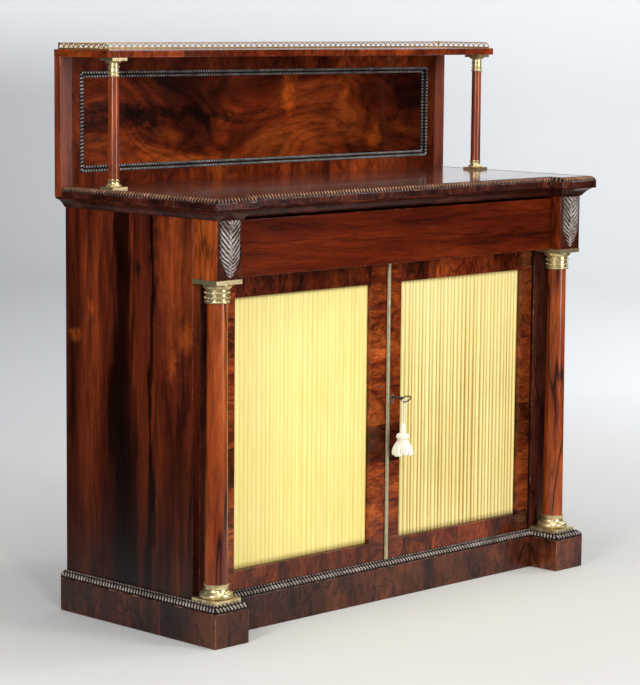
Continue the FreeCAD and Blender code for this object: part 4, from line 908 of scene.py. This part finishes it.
def tube(points, radius, sides=8):
    # a round tube through the points; its map runs round and along in yarn radii
    shape = bmesh.new()
    rings, lengths, run = [], [], 0.0
    side = None
    for index, point in enumerate(points):
        before, after = points[max(0, index - 1)], points[min(len(points) - 1, index + 1)]
        tangent = (after - before).normalized()
        if side is None:
            side = tangent.orthogonal().normalized()
        side = (side - tangent * side.dot(tangent)).normalized()
        other = tangent.cross(side)
        if index:
            run += (point - points[index - 1]).length
        lengths.append(run)
        turns = [fullTurn * step / sides for step in range(sides)]
        rings.append([shape.verts.new(point + (side * math.cos(turn) + other * math.sin(turn)) * radius)
                      for turn in turns])
    return skinned(shape, rings, lambda across, along: (across / sides * 6.28, lengths[along] / radius))


def turnedShape(profile, centre, steps, ribs, ribDepth):
    # a closed turning about a vertical axis, with upright ribs where the profile asks for them
    shape = bmesh.new()
    rings = []
    for radius, level, ribbed in profile:
        ring = []
        for step in range(steps):
            turn = fullTurn * step / steps
            out = radius * (1 - ribDepth * ribbed * (0.5 + 0.5 * math.cos(ribs * turn)))
            x, y = centre[0] + out * math.cos(turn), centre[1] + out * math.sin(turn)
            ring.append(shape.verts.new((x, y, level)))
        rings.append(ring)
    return skinned(shape, rings, lambda across, along: (across / steps * 60, along * 1.2))


def makeCordLine(centre):
    curve = bpy.data.curves.new("tassel_cord_line", "CURVE")
    curve.dimensions = "3D"
    curve.bevel_depth = cord["radius"] * millimetre
    curve.bevel_resolution = 4
    curve.resolution_u = 10
    curve.use_fill_caps = True
    spline = curve.splines.new("NURBS")
    spline.points.add(len(cord["route"]) - 1)
    for point, (across, level) in zip(spline.points, cord["route"]):
        point.co = (centre[0] + across * millimetre, centre[1], level * millimetre, 1)
    spline.order_u = 3
    spline.use_endpoint_u = True
    curve.materials.append(finishes["cordYarn"])
    line = bpy.data.objects.new("tassel_double_cord", curve)
    scene.collection.objects.link(line)
    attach(line, "tassel")
    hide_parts("tassel_cord")
    return line


def tasselHead(centre, top, capFoot, ballFoot):
    # the cap is whipped with yarn, one bulge for each wrap, over a ribbed ball
    profile = [(tassel["capTop"] * millimetre, top, 0)]
    steps = tassel["wraps"] * tassel["wrapSteps"]
    rim, depth = tassel["capRim"] * millimetre, tassel["wrapDepth"]
    for step in range(steps + 1):
        share = step / steps
        bulge = abs(math.sin(math.pi * share * tassel["wraps"]))
        swell = 1 - 0.22 * (1 - share) ** 3
        profile.append(((tassel["capRadius"] - depth + depth * bulge) * swell * millimetre,
                        top - rim - share * (top - capFoot - rim), 0))
    neck = tassel["neckRadius"]
    for step in range(1, tassel["ballSteps"]):
        share = step / tassel["ballSteps"]
        radius = neck + (tassel["ballRadius"] - neck) * math.sin(math.pi * share * 0.99) ** 0.62
        if share > 0.5:
            radius = max(radius, tassel["ballFootRadius"])
        profile.append((radius * millimetre, capFoot - share * (capFoot - ballFoot), 1))
    profile.append((0.0102, ballFoot - 0.001, 0.5))
    profile.append((0.006, ballFoot - 0.003, 0))
    return turnedShape(profile, centre, tassel["around"], tassel["ballRibs"], tassel["ribDepth"])


def skirtLoop(centre, turn, ballFoot, length, width, sway, reach):
    # a hanging loop of yarn: down one leg, round the foot and up the other
    outward = Vector((math.cos(turn), math.sin(turn), 0))
    sideways = Vector((-math.sin(turn), math.cos(turn), 0))
    yarn = tassel["yarnRadius"] * millimetre
    points = []
    for step in range(25):
        turnDown = math.pi * step / 24
        across = -math.cos(turnDown)
        across = math.copysign(abs(across) ** 0.55, across) * width
        deep = math.sin(turnDown) ** 0.42
        spread = math.sin(min(1.0, deep) * quarterTurn)
        radius = (tassel["skirtTop"] + (reach - tassel["skirtTop"]) * spread) * millimetre
        narrow = 0.35 + 0.65 * deep
        points.append(Vector((centre[0], centre[1], ballFoot - deep * (length - yarn)))
                      + outward * radius + sideways * (across * narrow + sway * deep))
    return tube(points, yarn)


def makeTassel():
    low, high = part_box("tassel")
    axis = middleOf("tassel")
    centre = (axis.x, axis.y)
    line = makeCordLine(centre)
    capFoot = high.z - tassel["capHeight"] * millimetre
    ballFoot = capFoot - tassel["ballHeight"] * millimetre
    shapes = [tasselHead(centre, high.z, capFoot, ballFoot)]
    # a binding yarn round the foot of the ball
    radius = tassel["bindingRadius"] * millimetre
    ring = [Vector((centre[0] + radius * math.cos(fullTurn * step / 40),
                    centre[1] + radius * math.sin(fullTurn * step / 40), ballFoot + 0.0006))
            for step in range(41)]
    shapes.append(tube(ring, tassel["bindingYarn"] * millimetre))
    # the skirt: two rows of loops
    chance = random.Random(tassel["seed"])
    for count, reach, drop, phase in (
        (tassel["loopCount"], tassel["skirtReach"] - tassel["yarnRadius"], 0.0, 0.0),
        (tassel["innerLoopCount"], tassel["skirtReach"] - tassel["innerLoopIn"], 0.0015, 0.4),
    ):
        for index in range(count):
            turn = fullTurn * (index + phase + chance.uniform(-0.10, 0.10)) / count
            length = ballFoot - low.z - drop - chance.uniform(0.0, 0.0035)
            width = tassel["loopWidth"] * millimetre * chance.uniform(0.9, 1.08) / 2
            sway = chance.uniform(-0.0012, 0.0012)
            shapes.append(skirtLoop(centre, turn, ballFoot, length, width, sway, reach))
    mesh = gathered(shapes, "tassel_yarns")
    piece = addPiece("tassel_looped", mesh, "tassel", "tasselYarn")
    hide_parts("tassel")


makeCamera()
makeRoom()
makeTassel()
print("camera, room and tassel done")


# boards and frames

boards = {
    # node: finish, slot, easing in millimetres
    "plinth_front_board": ("plinthVeneer", "rosewood_plinth", 0.9),
    "plinth_boards": ("plinthSideVeneer", "rosewood_plinth", 1.4),
    "plinth_blocks": ("plinthVeneer", "rosewood_plinth", 1.2),
    "left_end_panel": ("sideVeneer", "rosewood_side", 0.8),
    "right_end_panel": ("sideVeneer", "rosewood_side", 0.8),
    # painted shade: the front stiles behind the columns take the dark veneer
    "front_stiles": ("paintedShadeVeneer", "rosewood_stile", 0.6),
    "drawer_rail": ("railVeneer", "rosewood_rail", 0.6),
    "left_frieze_block": ("friezeVeneer", "rosewood_frieze", 0.9),
    "right_frieze_block": ("friezeVeneer", "rosewood_frieze", 0.9),
    "table_top": ("topVeneer", "rosewood_top", 1.0),
    "drawer_front": ("drawerVeneer", "rosewood_drawer_front", 0.8),
    "left_door_stiles": ("stileVeneer", "rosewood_door_stiles", 0.8),
    "right_door_stiles": ("stileVeneer", "rosewood_door_stiles", 0.8),
    "left_door_rails": ("railVeneer", "rosewood_door_rails", 0.8),
    "right_door_rails": ("railVeneer", "rosewood_door_rails", 0.8),
    "back_pilasters": ("uprightVeneer", "rosewood_back_frame", 0.9),
    "back_frame": ("backRailVeneer", "rosewood_back_frame", 0.6),
    "raised_panel": ("panelVeneer", "rosewood_figured", 0.4),
    "raised_shelf": ("shelfVeneer", "rosewood_shelf", 0.5),
}
# A second finish for the faces whose normal has the given share of an axis: the edges of the top,
# the fronts behind the leaves, in the veneer with painted shade, and the unpolished rear of the raised
# back.
facings = {
    "table_top": ("edgeVeneer", 2, -0.8, 0.8),
    "left_frieze_block": ("paintedShadeVeneer", 1, -1.1, -0.8),
    "right_frieze_block": ("paintedShadeVeneer", 1, -1.1, -0.8),
    "raised_panel": ("insideAcross", 1, 0.8, 1.1),
    "back_frame": ("insideAcross", 1, 0.8, 1.1),
    "back_pilasters": ("insideUpright", 1, 0.8, 1.1),
}
# edges of these boards shorter than this stay sharp
shortestEased = {"drawer_front": 0.018}
# these boards lie flush with the next one at this place on the depth axis, and stay sharp there
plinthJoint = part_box("plinth_front_board")[1].y
flushJoints = {"plinth_boards": plinthJoint, "plinth_blocks": plinthJoint}


def softened(node, finish, slotName, width):
    # the CAD board again with its edges eased, so that they catch the light and can show wear
    source = nodes[node]
    flush, shortest = flushJoints.get(node), shortestEased.get(node, 0.0)
    shape = bmesh.new()
    shape.from_mesh(source.data)
    bmesh.ops.remove_doubles(shape, verts=shape.verts, dist=1e-6)
    bmesh.ops.dissolve_limit(shape, angle_limit=math.radians(1), verts=shape.verts, edges=shape.edges)
    wornLayer = shape.faces.layers.float.new("worn")

    def isEased(edge):
        if not edge.is_manifold or edge.calc_face_angle(0) < math.radians(30):
            return False
        if flush is not None and all(abs(corner.co.y - flush) < 1e-5 for corner in edge.verts):
            return False
        return edge.calc_length() > shortest

    eased = bmesh.ops.bevel(shape, geom=[edge for edge in shape.edges if isEased(edge)],
                            offset=width * millimetre, offset_type="OFFSET", segments=2, profile=0.5,
                            affect="EDGES", clamp_overlap=True)
    for face in eased["faces"]:
        face[wornLayer] = 1.0
        face.smooth = True
    # easing never leaves the board's own box
    low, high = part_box(node)
    for corner in shape.verts:
        corner.co = [min(max(place, least), most) for place, least, most in zip(corner.co, low, high)]
    mesh = bpy.data.meshes.new(node + "_eased")
    shape.to_mesh(mesh)
    shape.free()
    piece = addPiece(node + "_veneered", mesh, source["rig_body"], finish, smooth=False)
    if node in facings:
        other, axis, least, most = facings[node]
        mesh.materials.append(finishes[other])
        for face in mesh.polygons:
            face.material_index = 1 if least < face.normal[axis] < most else 0
    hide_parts(node)


for node, look in boards.items():
    softened(node, *look)

plainNodes = {
    # finish: the solids that only take a new finish
    "corniceVeneer": ("cornice_moulding",),
    # painted shade in the gaps of the carved plinth and top edge; black ebonising on the panel moulding
    "carvedGroundAndShade": ("plinth_moulding", "top_edge_moulding", "panel_moulding"),
    "insideAcross": ("bottom_board", "cupboard_shelf", "dust_board", "top_rails", "drawer_back",
                     "drawer_bottom"),
    "insideUpright": ("back_panel", "left_door_backing", "right_door_backing"),
    "insideDeep": ("shelf_bearers", "drawer_guides", "drawer_sides"),
    "columnVeneer": ("left_column_shaft", "right_column_shaft", "small_column_shafts"),
    "giltBrass": ("left_column_base", "right_column_base", "left_column_capital", "right_column_capital",
                  "small_column_bases", "small_column_capitals"),
    "galleryBrass": ("gallery",),
    "stripBrass": ("door_astragal",),
    "fittingBrass": ("door_pivots", "left_door_bolt", "door_bolt_keepers", "lock_bolt"),
    "lockSteel": ("lock_case", "lock_keep"),
    "keySteel": ("key",),
    "plateSteel": ("key_escutcheon",),
}
for finish, names in plainNodes.items():
    for name in names:
        for slot in nodes[name].material_slots:
            slot.material = finishes[finish]
        if not nodes[name].material_slots:
            nodes[name].data.materials.append(finishes[finish])
print("boards and frames done")


# carved edges

carvings = {
    # Each row lies at its draw in from the edge and its rise up the moulding. A lobe's size is its
    # half-width along the run, how far it stands out and half its length across the run.
    "plinthLobes": {"pitch": 0.0088, "size": (0.0026, 0.0036, 0.0058), "lean": 36, "slant": 24,
                    "taper": -0.12, "draw": 0.0036, "rise": 0.0072, "seed": 3},
    "plinthBeads": {"pitch": 0.0088, "size": (0.0026, 0.0022, 0.0026), "lean": 75, "slant": 0,
                    "taper": 0.0, "draw": 0.0107, "rise": 0.0132, "seed": 5},
    "topLobes": {"pitch": 0.0088, "size": (0.0019, 0.0024, 0.0052), "lean": 36, "slant": -8,
                 "taper": -0.1, "draw": 0.0038, "rise": 0.0052, "seed": 8},
    "topBeads": {"pitch": 0.0088, "size": (0.0021, 0.0015, 0.0015), "lean": 20, "slant": 0,
                 "taper": 0.0, "draw": 0.0013, "rise": 0.0012, "seed": 9},
}
handUneven = 0.05             # how much lobes cut by hand differ in size


def breakfront(half, rear, front, blockInner, middle, level):
    # from rear right round the front to rear left, so that outward lies to the left of travel
    right = [(half, rear), (half, front), (blockInner, front), (blockInner, middle)]
    left = [(-x, y) for x, y in reversed(right)]
    return [(x, y, level) for x, y in right + left]


def carvedRow(label, name, edges, finish):
    # a row of lobes along a moulding that follows a breakfront case
    look = carvings[name]
    half, rear, front, blockInner, middle, level = edges
    draw = look["draw"]
    corners = breakfront(half - draw, rear, front + draw, blockInner + draw, middle + draw,
                         level + look["rise"])
    grow(label, route(corners, look["pitch"] * 0.6), {
        "Pitch": look["pitch"], "Lobe Size": look["size"],
        "Lobe Turn": (math.radians(look["lean"]), math.radians(look["slant"]), 0),
        "Taper": look["taper"], "Outward Axis": (0, 0, 1), "Uneven": handUneven, "Seed": look["seed"],
    }, "carcase", finish)


def makeEdgeCarving():
    low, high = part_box("plinth_moulding")
    frontLow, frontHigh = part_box("plinth_front_board")
    plinth = (high.x, high.y, low.y, frontHigh.x, frontLow.y, low.z)
    carvedRow("plinth_carved_lobes", "plinthLobes", plinth, "carvedPlinthSheen")
    carvedRow("plinth_carved_beads", "plinthBeads", plinth, "carvedPlinthSheen")
    low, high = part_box("top_edge_moulding")
    blockLow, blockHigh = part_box("right_frieze_block")
    overhang = high.x - blockHigh.x
    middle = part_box("top_rails")[0].y - overhang
    top = (high.x, high.y, low.y, blockLow.x - overhang, middle, low.z)
    carvedRow("top_carved_lobes", "topLobes", top, "carvedEdge")
    carvedRow("top_carved_beads", "topBeads", top, "carvedPlinthSheen")


ropeCarving = {
    "pitch": 0.0074, "size": (0.0021, 0.0034, 0.0024), "slant": 30, "rowIn": 0.0027, "rowWidth": 0.0082,
    "outerSunk": 0.0004, "innerSunk": 0.0030, "outerSeed": 11, "innerSeed": 12,
}


def makeRopeCarving():
    low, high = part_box("panel_moulding")
    look = ropeCarving
    for label, inset, face, seed in (
        ("outer", look["rowIn"], low.y + look["outerSunk"], look["outerSeed"]),
        ("inner", look["rowIn"] + look["rowWidth"], high.y - look["innerSunk"], look["innerSeed"]),
    ):
        left, right = low.x + inset, high.x - inset
        foot, head = low.z + inset, high.z - inset
        around = ((left, head), (right, head), (right, foot), (left, foot), (left, head))
        grow(f"panel_rope_{label}", route([(x, face, z) for x, z in around], look["pitch"] / 2), {
            "Pitch": look["pitch"], "Lobe Size": look["size"],
            "Lobe Turn": (0, 0, math.radians(look["slant"])),
            "Taper": 0.0, "Outward Axis": (0, -1, 0), "Uneven": handUneven, "Seed": seed,
        }, "carcase", "ebonised")


makeEdgeCarving()
makeRopeCarving()
print("carved edges done")


# the acanthus leaves

leafLook = {
    "half": 0.0276, "fullAt": 0.36, "lobes": 10, "notch": 0.0036, "sweep": 1.05,
    "relief": 0.0032, "lobeDepth": 0.0046, "veins": 2, "veinDepth": 0.0007,
    "stem": 0.0024, "stemRise": 0.0014, "groove": 0.0016, "curl": 0.0030, "curlFrom": 0.86,
    # fans of drooping leaflets: where each starts, how far it falls and how far it stands out
    "sprays": ((0.62, 0.42, 0.0034), (1.02, 0.20, 0.0030)),
    "leaflets": 5,
    "rim": 0.0004, "sunk": 0.0006, "thinnest": 0.0007,
    "columns": 84, "rows": 180,
}


def leafSwell(share):
    # from a point at the foot to the full width a third of the way up
    return min(1.0, share / leafLook["fullAt"]) ** 0.6 if share > 0 else 0


def leafHalfWidth(share):
    # cut in under each lobe
    look = leafLook
    lobe = (share * look["lobes"]) % 1.0
    cut = look["notch"] * (1 - lobe ** 0.6) * min(1, share * 5)
    return max(0.0008, look["half"] * leafSwell(share) - cut)


def leafHeight(x, rise, height):
    # how far the carving stands off the block: lobes that sweep up and outward from a stem
    look = leafLook
    share = rise / height
    half = max(0.001, look["half"] * leafSwell(share))
    across = min(1.0, abs(x) / half)
    phase = (rise + look["sweep"] * (half - abs(x))) / height * look["lobes"]
    lobe = math.sin(math.pi * (phase % 1.0)) ** 0.75
    vein = abs(math.sin(math.pi * look["veins"] * (phase % 1.0)))
    side = min(1.0, max(0.0, abs(x) / 0.004 - 0.5))
    stem = math.exp(-(x / look["stem"]) ** 2)
    groove = math.exp(-((abs(x) / look["stem"] - 1.9) / 0.5) ** 2)
    roll = max(0.0, (share - look["curlFrom"]) / (1 - look["curlFrom"]))
    stand = look["relief"] * (0.7 + 0.5 * share) * (1 - 0.6 * across ** 3)
    stand += side * (look["lobeDepth"] * (lobe - 0.55) + look["veinDepth"] * (vein - 0.5))
    stand += look["stemRise"] * stem * (1 - 0.4 * share) - look["groove"] * groove
    stand += look["curl"] * math.sin(roll * quarterTurn) * (1 - across ** 2.5)
    for start, fall, reach in look["sprays"]:
        down = (start - share) / fall
        if 0 < down < 1:
            turn = x / (look["half"] * (0.16 + 0.42 * down))
            if abs(turn) < 1:
                leaflet = abs(math.cos(math.pi * look["leaflets"] * turn / 2))
                fan = math.sin(math.pi * down) ** 0.6 * (0.45 + 0.55 * leaflet) * (1 - turn ** 4)
                stand += reach * fan
                lobe = max(lobe, fan)
    # the stand, and how near the point is to the crown of its lobe, which paints the highlight on the lobes
    # and the shade in the hollows
    return max(look["thinnest"], stand), max(stem * 0.6, lobe ** 3) * (1 - 0.3 * across ** 4)


def makeLeaf(side):
    low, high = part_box(side + "_acanthus_leaf")
    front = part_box(side + "_frieze_block")[0].y
    middle = (low.x + high.x) / 2
    look = leafLook
    foot = low.z + look["rim"]
    height = high.z - foot
    columns, rows = look["columns"], look["rows"]
    points, faces, crowns = [], [], []
    for layer in ("front", "rear"):
        for row in range(rows + 1):
            rise = height * (row / rows)
            half = leafHalfWidth(row / rows)
            for column in range(columns + 1):
                x = half * (2 * column / columns - 1)
                inner = 0 < column < columns
                stand, crown = leafHeight(x, rise, height) if inner else (look["rim"], 0.0)
                y = front - stand if layer == "front" else front + look["sunk"]
                points.append((middle + x, y, foot + rise))
                crowns.append(crown)
    width = columns + 1
    back = width * (rows + 1)
    for row in range(rows):
        for column in range(columns):
            a = row * width + column
            faces.append((a, a + 1, a + width + 1, a + width))
            faces.append((back + a, back + a + width, back + a + width + 1, back + a + 1))
    # the rims: both sides, then foot and head
    rims = [(row * width + column, width, column == columns)
            for row in range(rows) for column in (0, columns)]
    rims += [(row * width + column, 1, row == 0) for row in (0, rows) for column in range(columns)]
    for a, stride, flip in rims:
        quad = (a, a + stride, back + a + stride, back + a)
        faces.append(quad[::-1] if flip else quad)
    mesh = bpy.data.meshes.new(side + "_leaf")
    mesh.from_pydata(points, [], faces)
    keepValues(mesh, "crown", crowns)
    shape = bmesh.new()
    shape.from_mesh(mesh)
    bmesh.ops.recalc_face_normals(shape, faces=shape.faces)
    shape.to_mesh(mesh)
    shape.free()
    piece = addPiece(side + "_carved_leaf", mesh, "carcase", "carvedLeafPaintedLight")
    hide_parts(side + "_acanthus_leaf")


for side in ("left", "right"):
    makeLeaf(side)
print("leaves done")


# pleated silk

silkPanels = {
    # the crown is how flat the top of a pleat is; the lower, the narrower the valleys
    "left": {"pleats": 34, "depth": 0.0011, "crown": 0.8, "topDepth": 0.8, "seed": 21,
             "finish": "silkSoft"},
    "right": {"pleats": 34, "depth": 0.0030, "crown": 1.8, "topDepth": 0.5, "seed": 27,
              "finish": "silkDeep"},
    # how much the pleats differ
    "widths": (0.7, 1.3),
    "depths": (0.45, 1.0),
    "leans": (-0.14, 0.14),
    "valleys": (0.65, 1.0),
    "wander": 0.10,
    "samples": 10,
    "rows": 40,
    "thickness": 0.00025,
}


def makeSilk(side):
    low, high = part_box(side + "_door_silk")
    look, cloth = silkPanels[side], silkPanels
    samples, rows = cloth["samples"], cloth["rows"]
    chance = random.Random(look["seed"])
    widths = [chance.uniform(*cloth["widths"]) for _ in range(look["pleats"])]
    scale = (high.x - low.x) / sum(widths)
    depths = [chance.uniform(*cloth["depths"]) for _ in widths]
    leans = [chance.uniform(*cloth["leans"]) for _ in widths]
    valleys = [chance.uniform(*cloth["valleys"]) for _ in range(look["pleats"] + 1)]
    front = low.y + cloth["thickness"]
    points, faces, foldShades = [], [], []
    for row in range(rows + 1):
        level = low.z + (high.z - low.z) * row / rows
        fromTop = (high.z - level) / (high.z - low.z)
        # flatter where it is nailed at the top and again near the foot
        fall = look["topDepth"] + (1 - look["topDepth"]) * min(1.0, fromTop / 0.45) ** 0.8
        fall *= 1 - 0.15 * max(0.0, (fromTop - 0.9) / 0.1)
        start = low.x
        for index, width in enumerate(widths):
            wide = width * scale
            stray = noise.noise(Vector((index * 1.7, fromTop * 2.2, look["seed"])))
            wander = cloth["wander"] * wide * stray
            for step in range(samples):
                share = step / samples
                # round crowns and narrow valleys; each pleat leans a little and wanders as it falls
                crown = math.sin(math.pi * share) ** look["crown"]
                aside = (leans[index] * wide * crown + wander) * math.sin(math.pi * share)
                valley = valleys[index] * (1 - share) + valleys[index + 1] * share
                sink = (1 - crown * depths[index]) * look["depth"] * fall * (0.4 + 0.6 * valley)
                points.append((start + wide * share + aside, front + sink, level))
                # painted shade: the deeper in a pleat, the darker
                foldShades.append((1 - crown * (0.6 + 0.4 * depths[index])) * fall * valley)
            start += wide
        points.append((high.x, front + look["depth"] * fall * (0.4 + 0.6 * valleys[-1]), level))
        foldShades.append(fall * valleys[-1])
    columns = samples * look["pleats"] + 1
    for row in range(rows):
        for column in range(columns - 1):
            a = row * columns + column
            faces.append((a, a + 1, a + columns + 1, a + columns))
    mesh = bpy.data.meshes.new(side + "_silk")
    mesh.from_pydata(points, [], faces)
    keepValues(mesh, "foldShade", [max(0.0, min(1.0, value)) for value in foldShades])
    piece = addPiece(side + "_pleated_silk", mesh, side + "_door", look["finish"])
    body = piece.modifiers.new("clothThickness", "SOLIDIFY")
    body.thickness = cloth["thickness"]
    body.offset = -1
    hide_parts(side + "_door_silk")


for side in ("left", "right"):
    makeSilk(side)
print("silk done")


# beads on the capitals

beadRows = {
    "large": {"rise": (0.0110, 0.0210), "count": 18, "size": (0.0029, 0.0019, 0.0022), "reach": 0.0250},
    "small": {"rise": (0.0092, 0.0202), "count": 14, "size": (0.0020, 0.0013, 0.0012), "reach": 0.0117},
    "smallCapital": 0.040,    # the side of its square block
    "steps": 48,
    "uneven": 0.03,
    "seed": 15,
}


def ringAt(centre, radius, level):
    turns = [-fullTurn * step / beadRows["steps"] for step in range(beadRows["steps"])]
    return [(centre[0] + radius * math.cos(turn), centre[1] + radius * math.sin(turn), level)
            for turn in turns]


def makeBeads():
    low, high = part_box("small_column_capitals")
    inset = beadRows["smallCapital"] / 2
    centres = {
        "large": [(middleOf(side + "_column_capital"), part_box(side + "_column_capital")[0].z)
                  for side in ("left", "right")],
        "small": [(Vector((x, (low.y + high.y) / 2, 0)), low.z)
                  for x in (low.x + inset, high.x - inset)],
    }
    for kind, places in centres.items():
        look = beadRows[kind]
        runs = [ringAt(centre, look["reach"], foot + rise)
                for centre, foot in places for rise in look["rise"]]
        grow(f"{kind}_capital_beads", runs, {
            "Pitch": fullTurn * look["reach"] / look["count"], "Lobe Size": look["size"],
            "Lobe Turn": (0, 0, 0), "Taper": 0.0, "Outward Axis": (0, 0, 1),
            "Uneven": beadRows["uneven"], "Seed": beadRows["seed"],
        }, "carcase", "giltBrass", closed=True)


makeBeads()
print("beads done")


# a small iron pin in each of the meeting stiles, over the lock

pins = {"level": 0.468, "inset": 0.024, "radius": 0.0029, "proud": 0.0007, "sunk": 0.0006, "sides": 14}


def makePins():
    for side, sign in (("left", -1), ("right", 1)):
        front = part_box(side + "_door_stiles")[0].y
        shape = bmesh.new()
        rings = []
        for reach, depth in ((1.0, pins["sunk"]), (1.0, -pins["proud"] * 0.4), (0.7, -pins["proud"])):
            radius = pins["radius"] * reach
            turns = [fullTurn * step / pins["sides"] for step in range(pins["sides"])]
            rings.append([shape.verts.new((sign * pins["inset"] + radius * math.cos(turn), front + depth,
                                           pins["level"] + radius * math.sin(turn))) for turn in turns])
        mesh = gathered([skinned(shape, rings)], side + "_pin")
        addPiece(side + "_stile_pin", mesh, side + "_door", "pinIron")


makePins()
print("pins done")
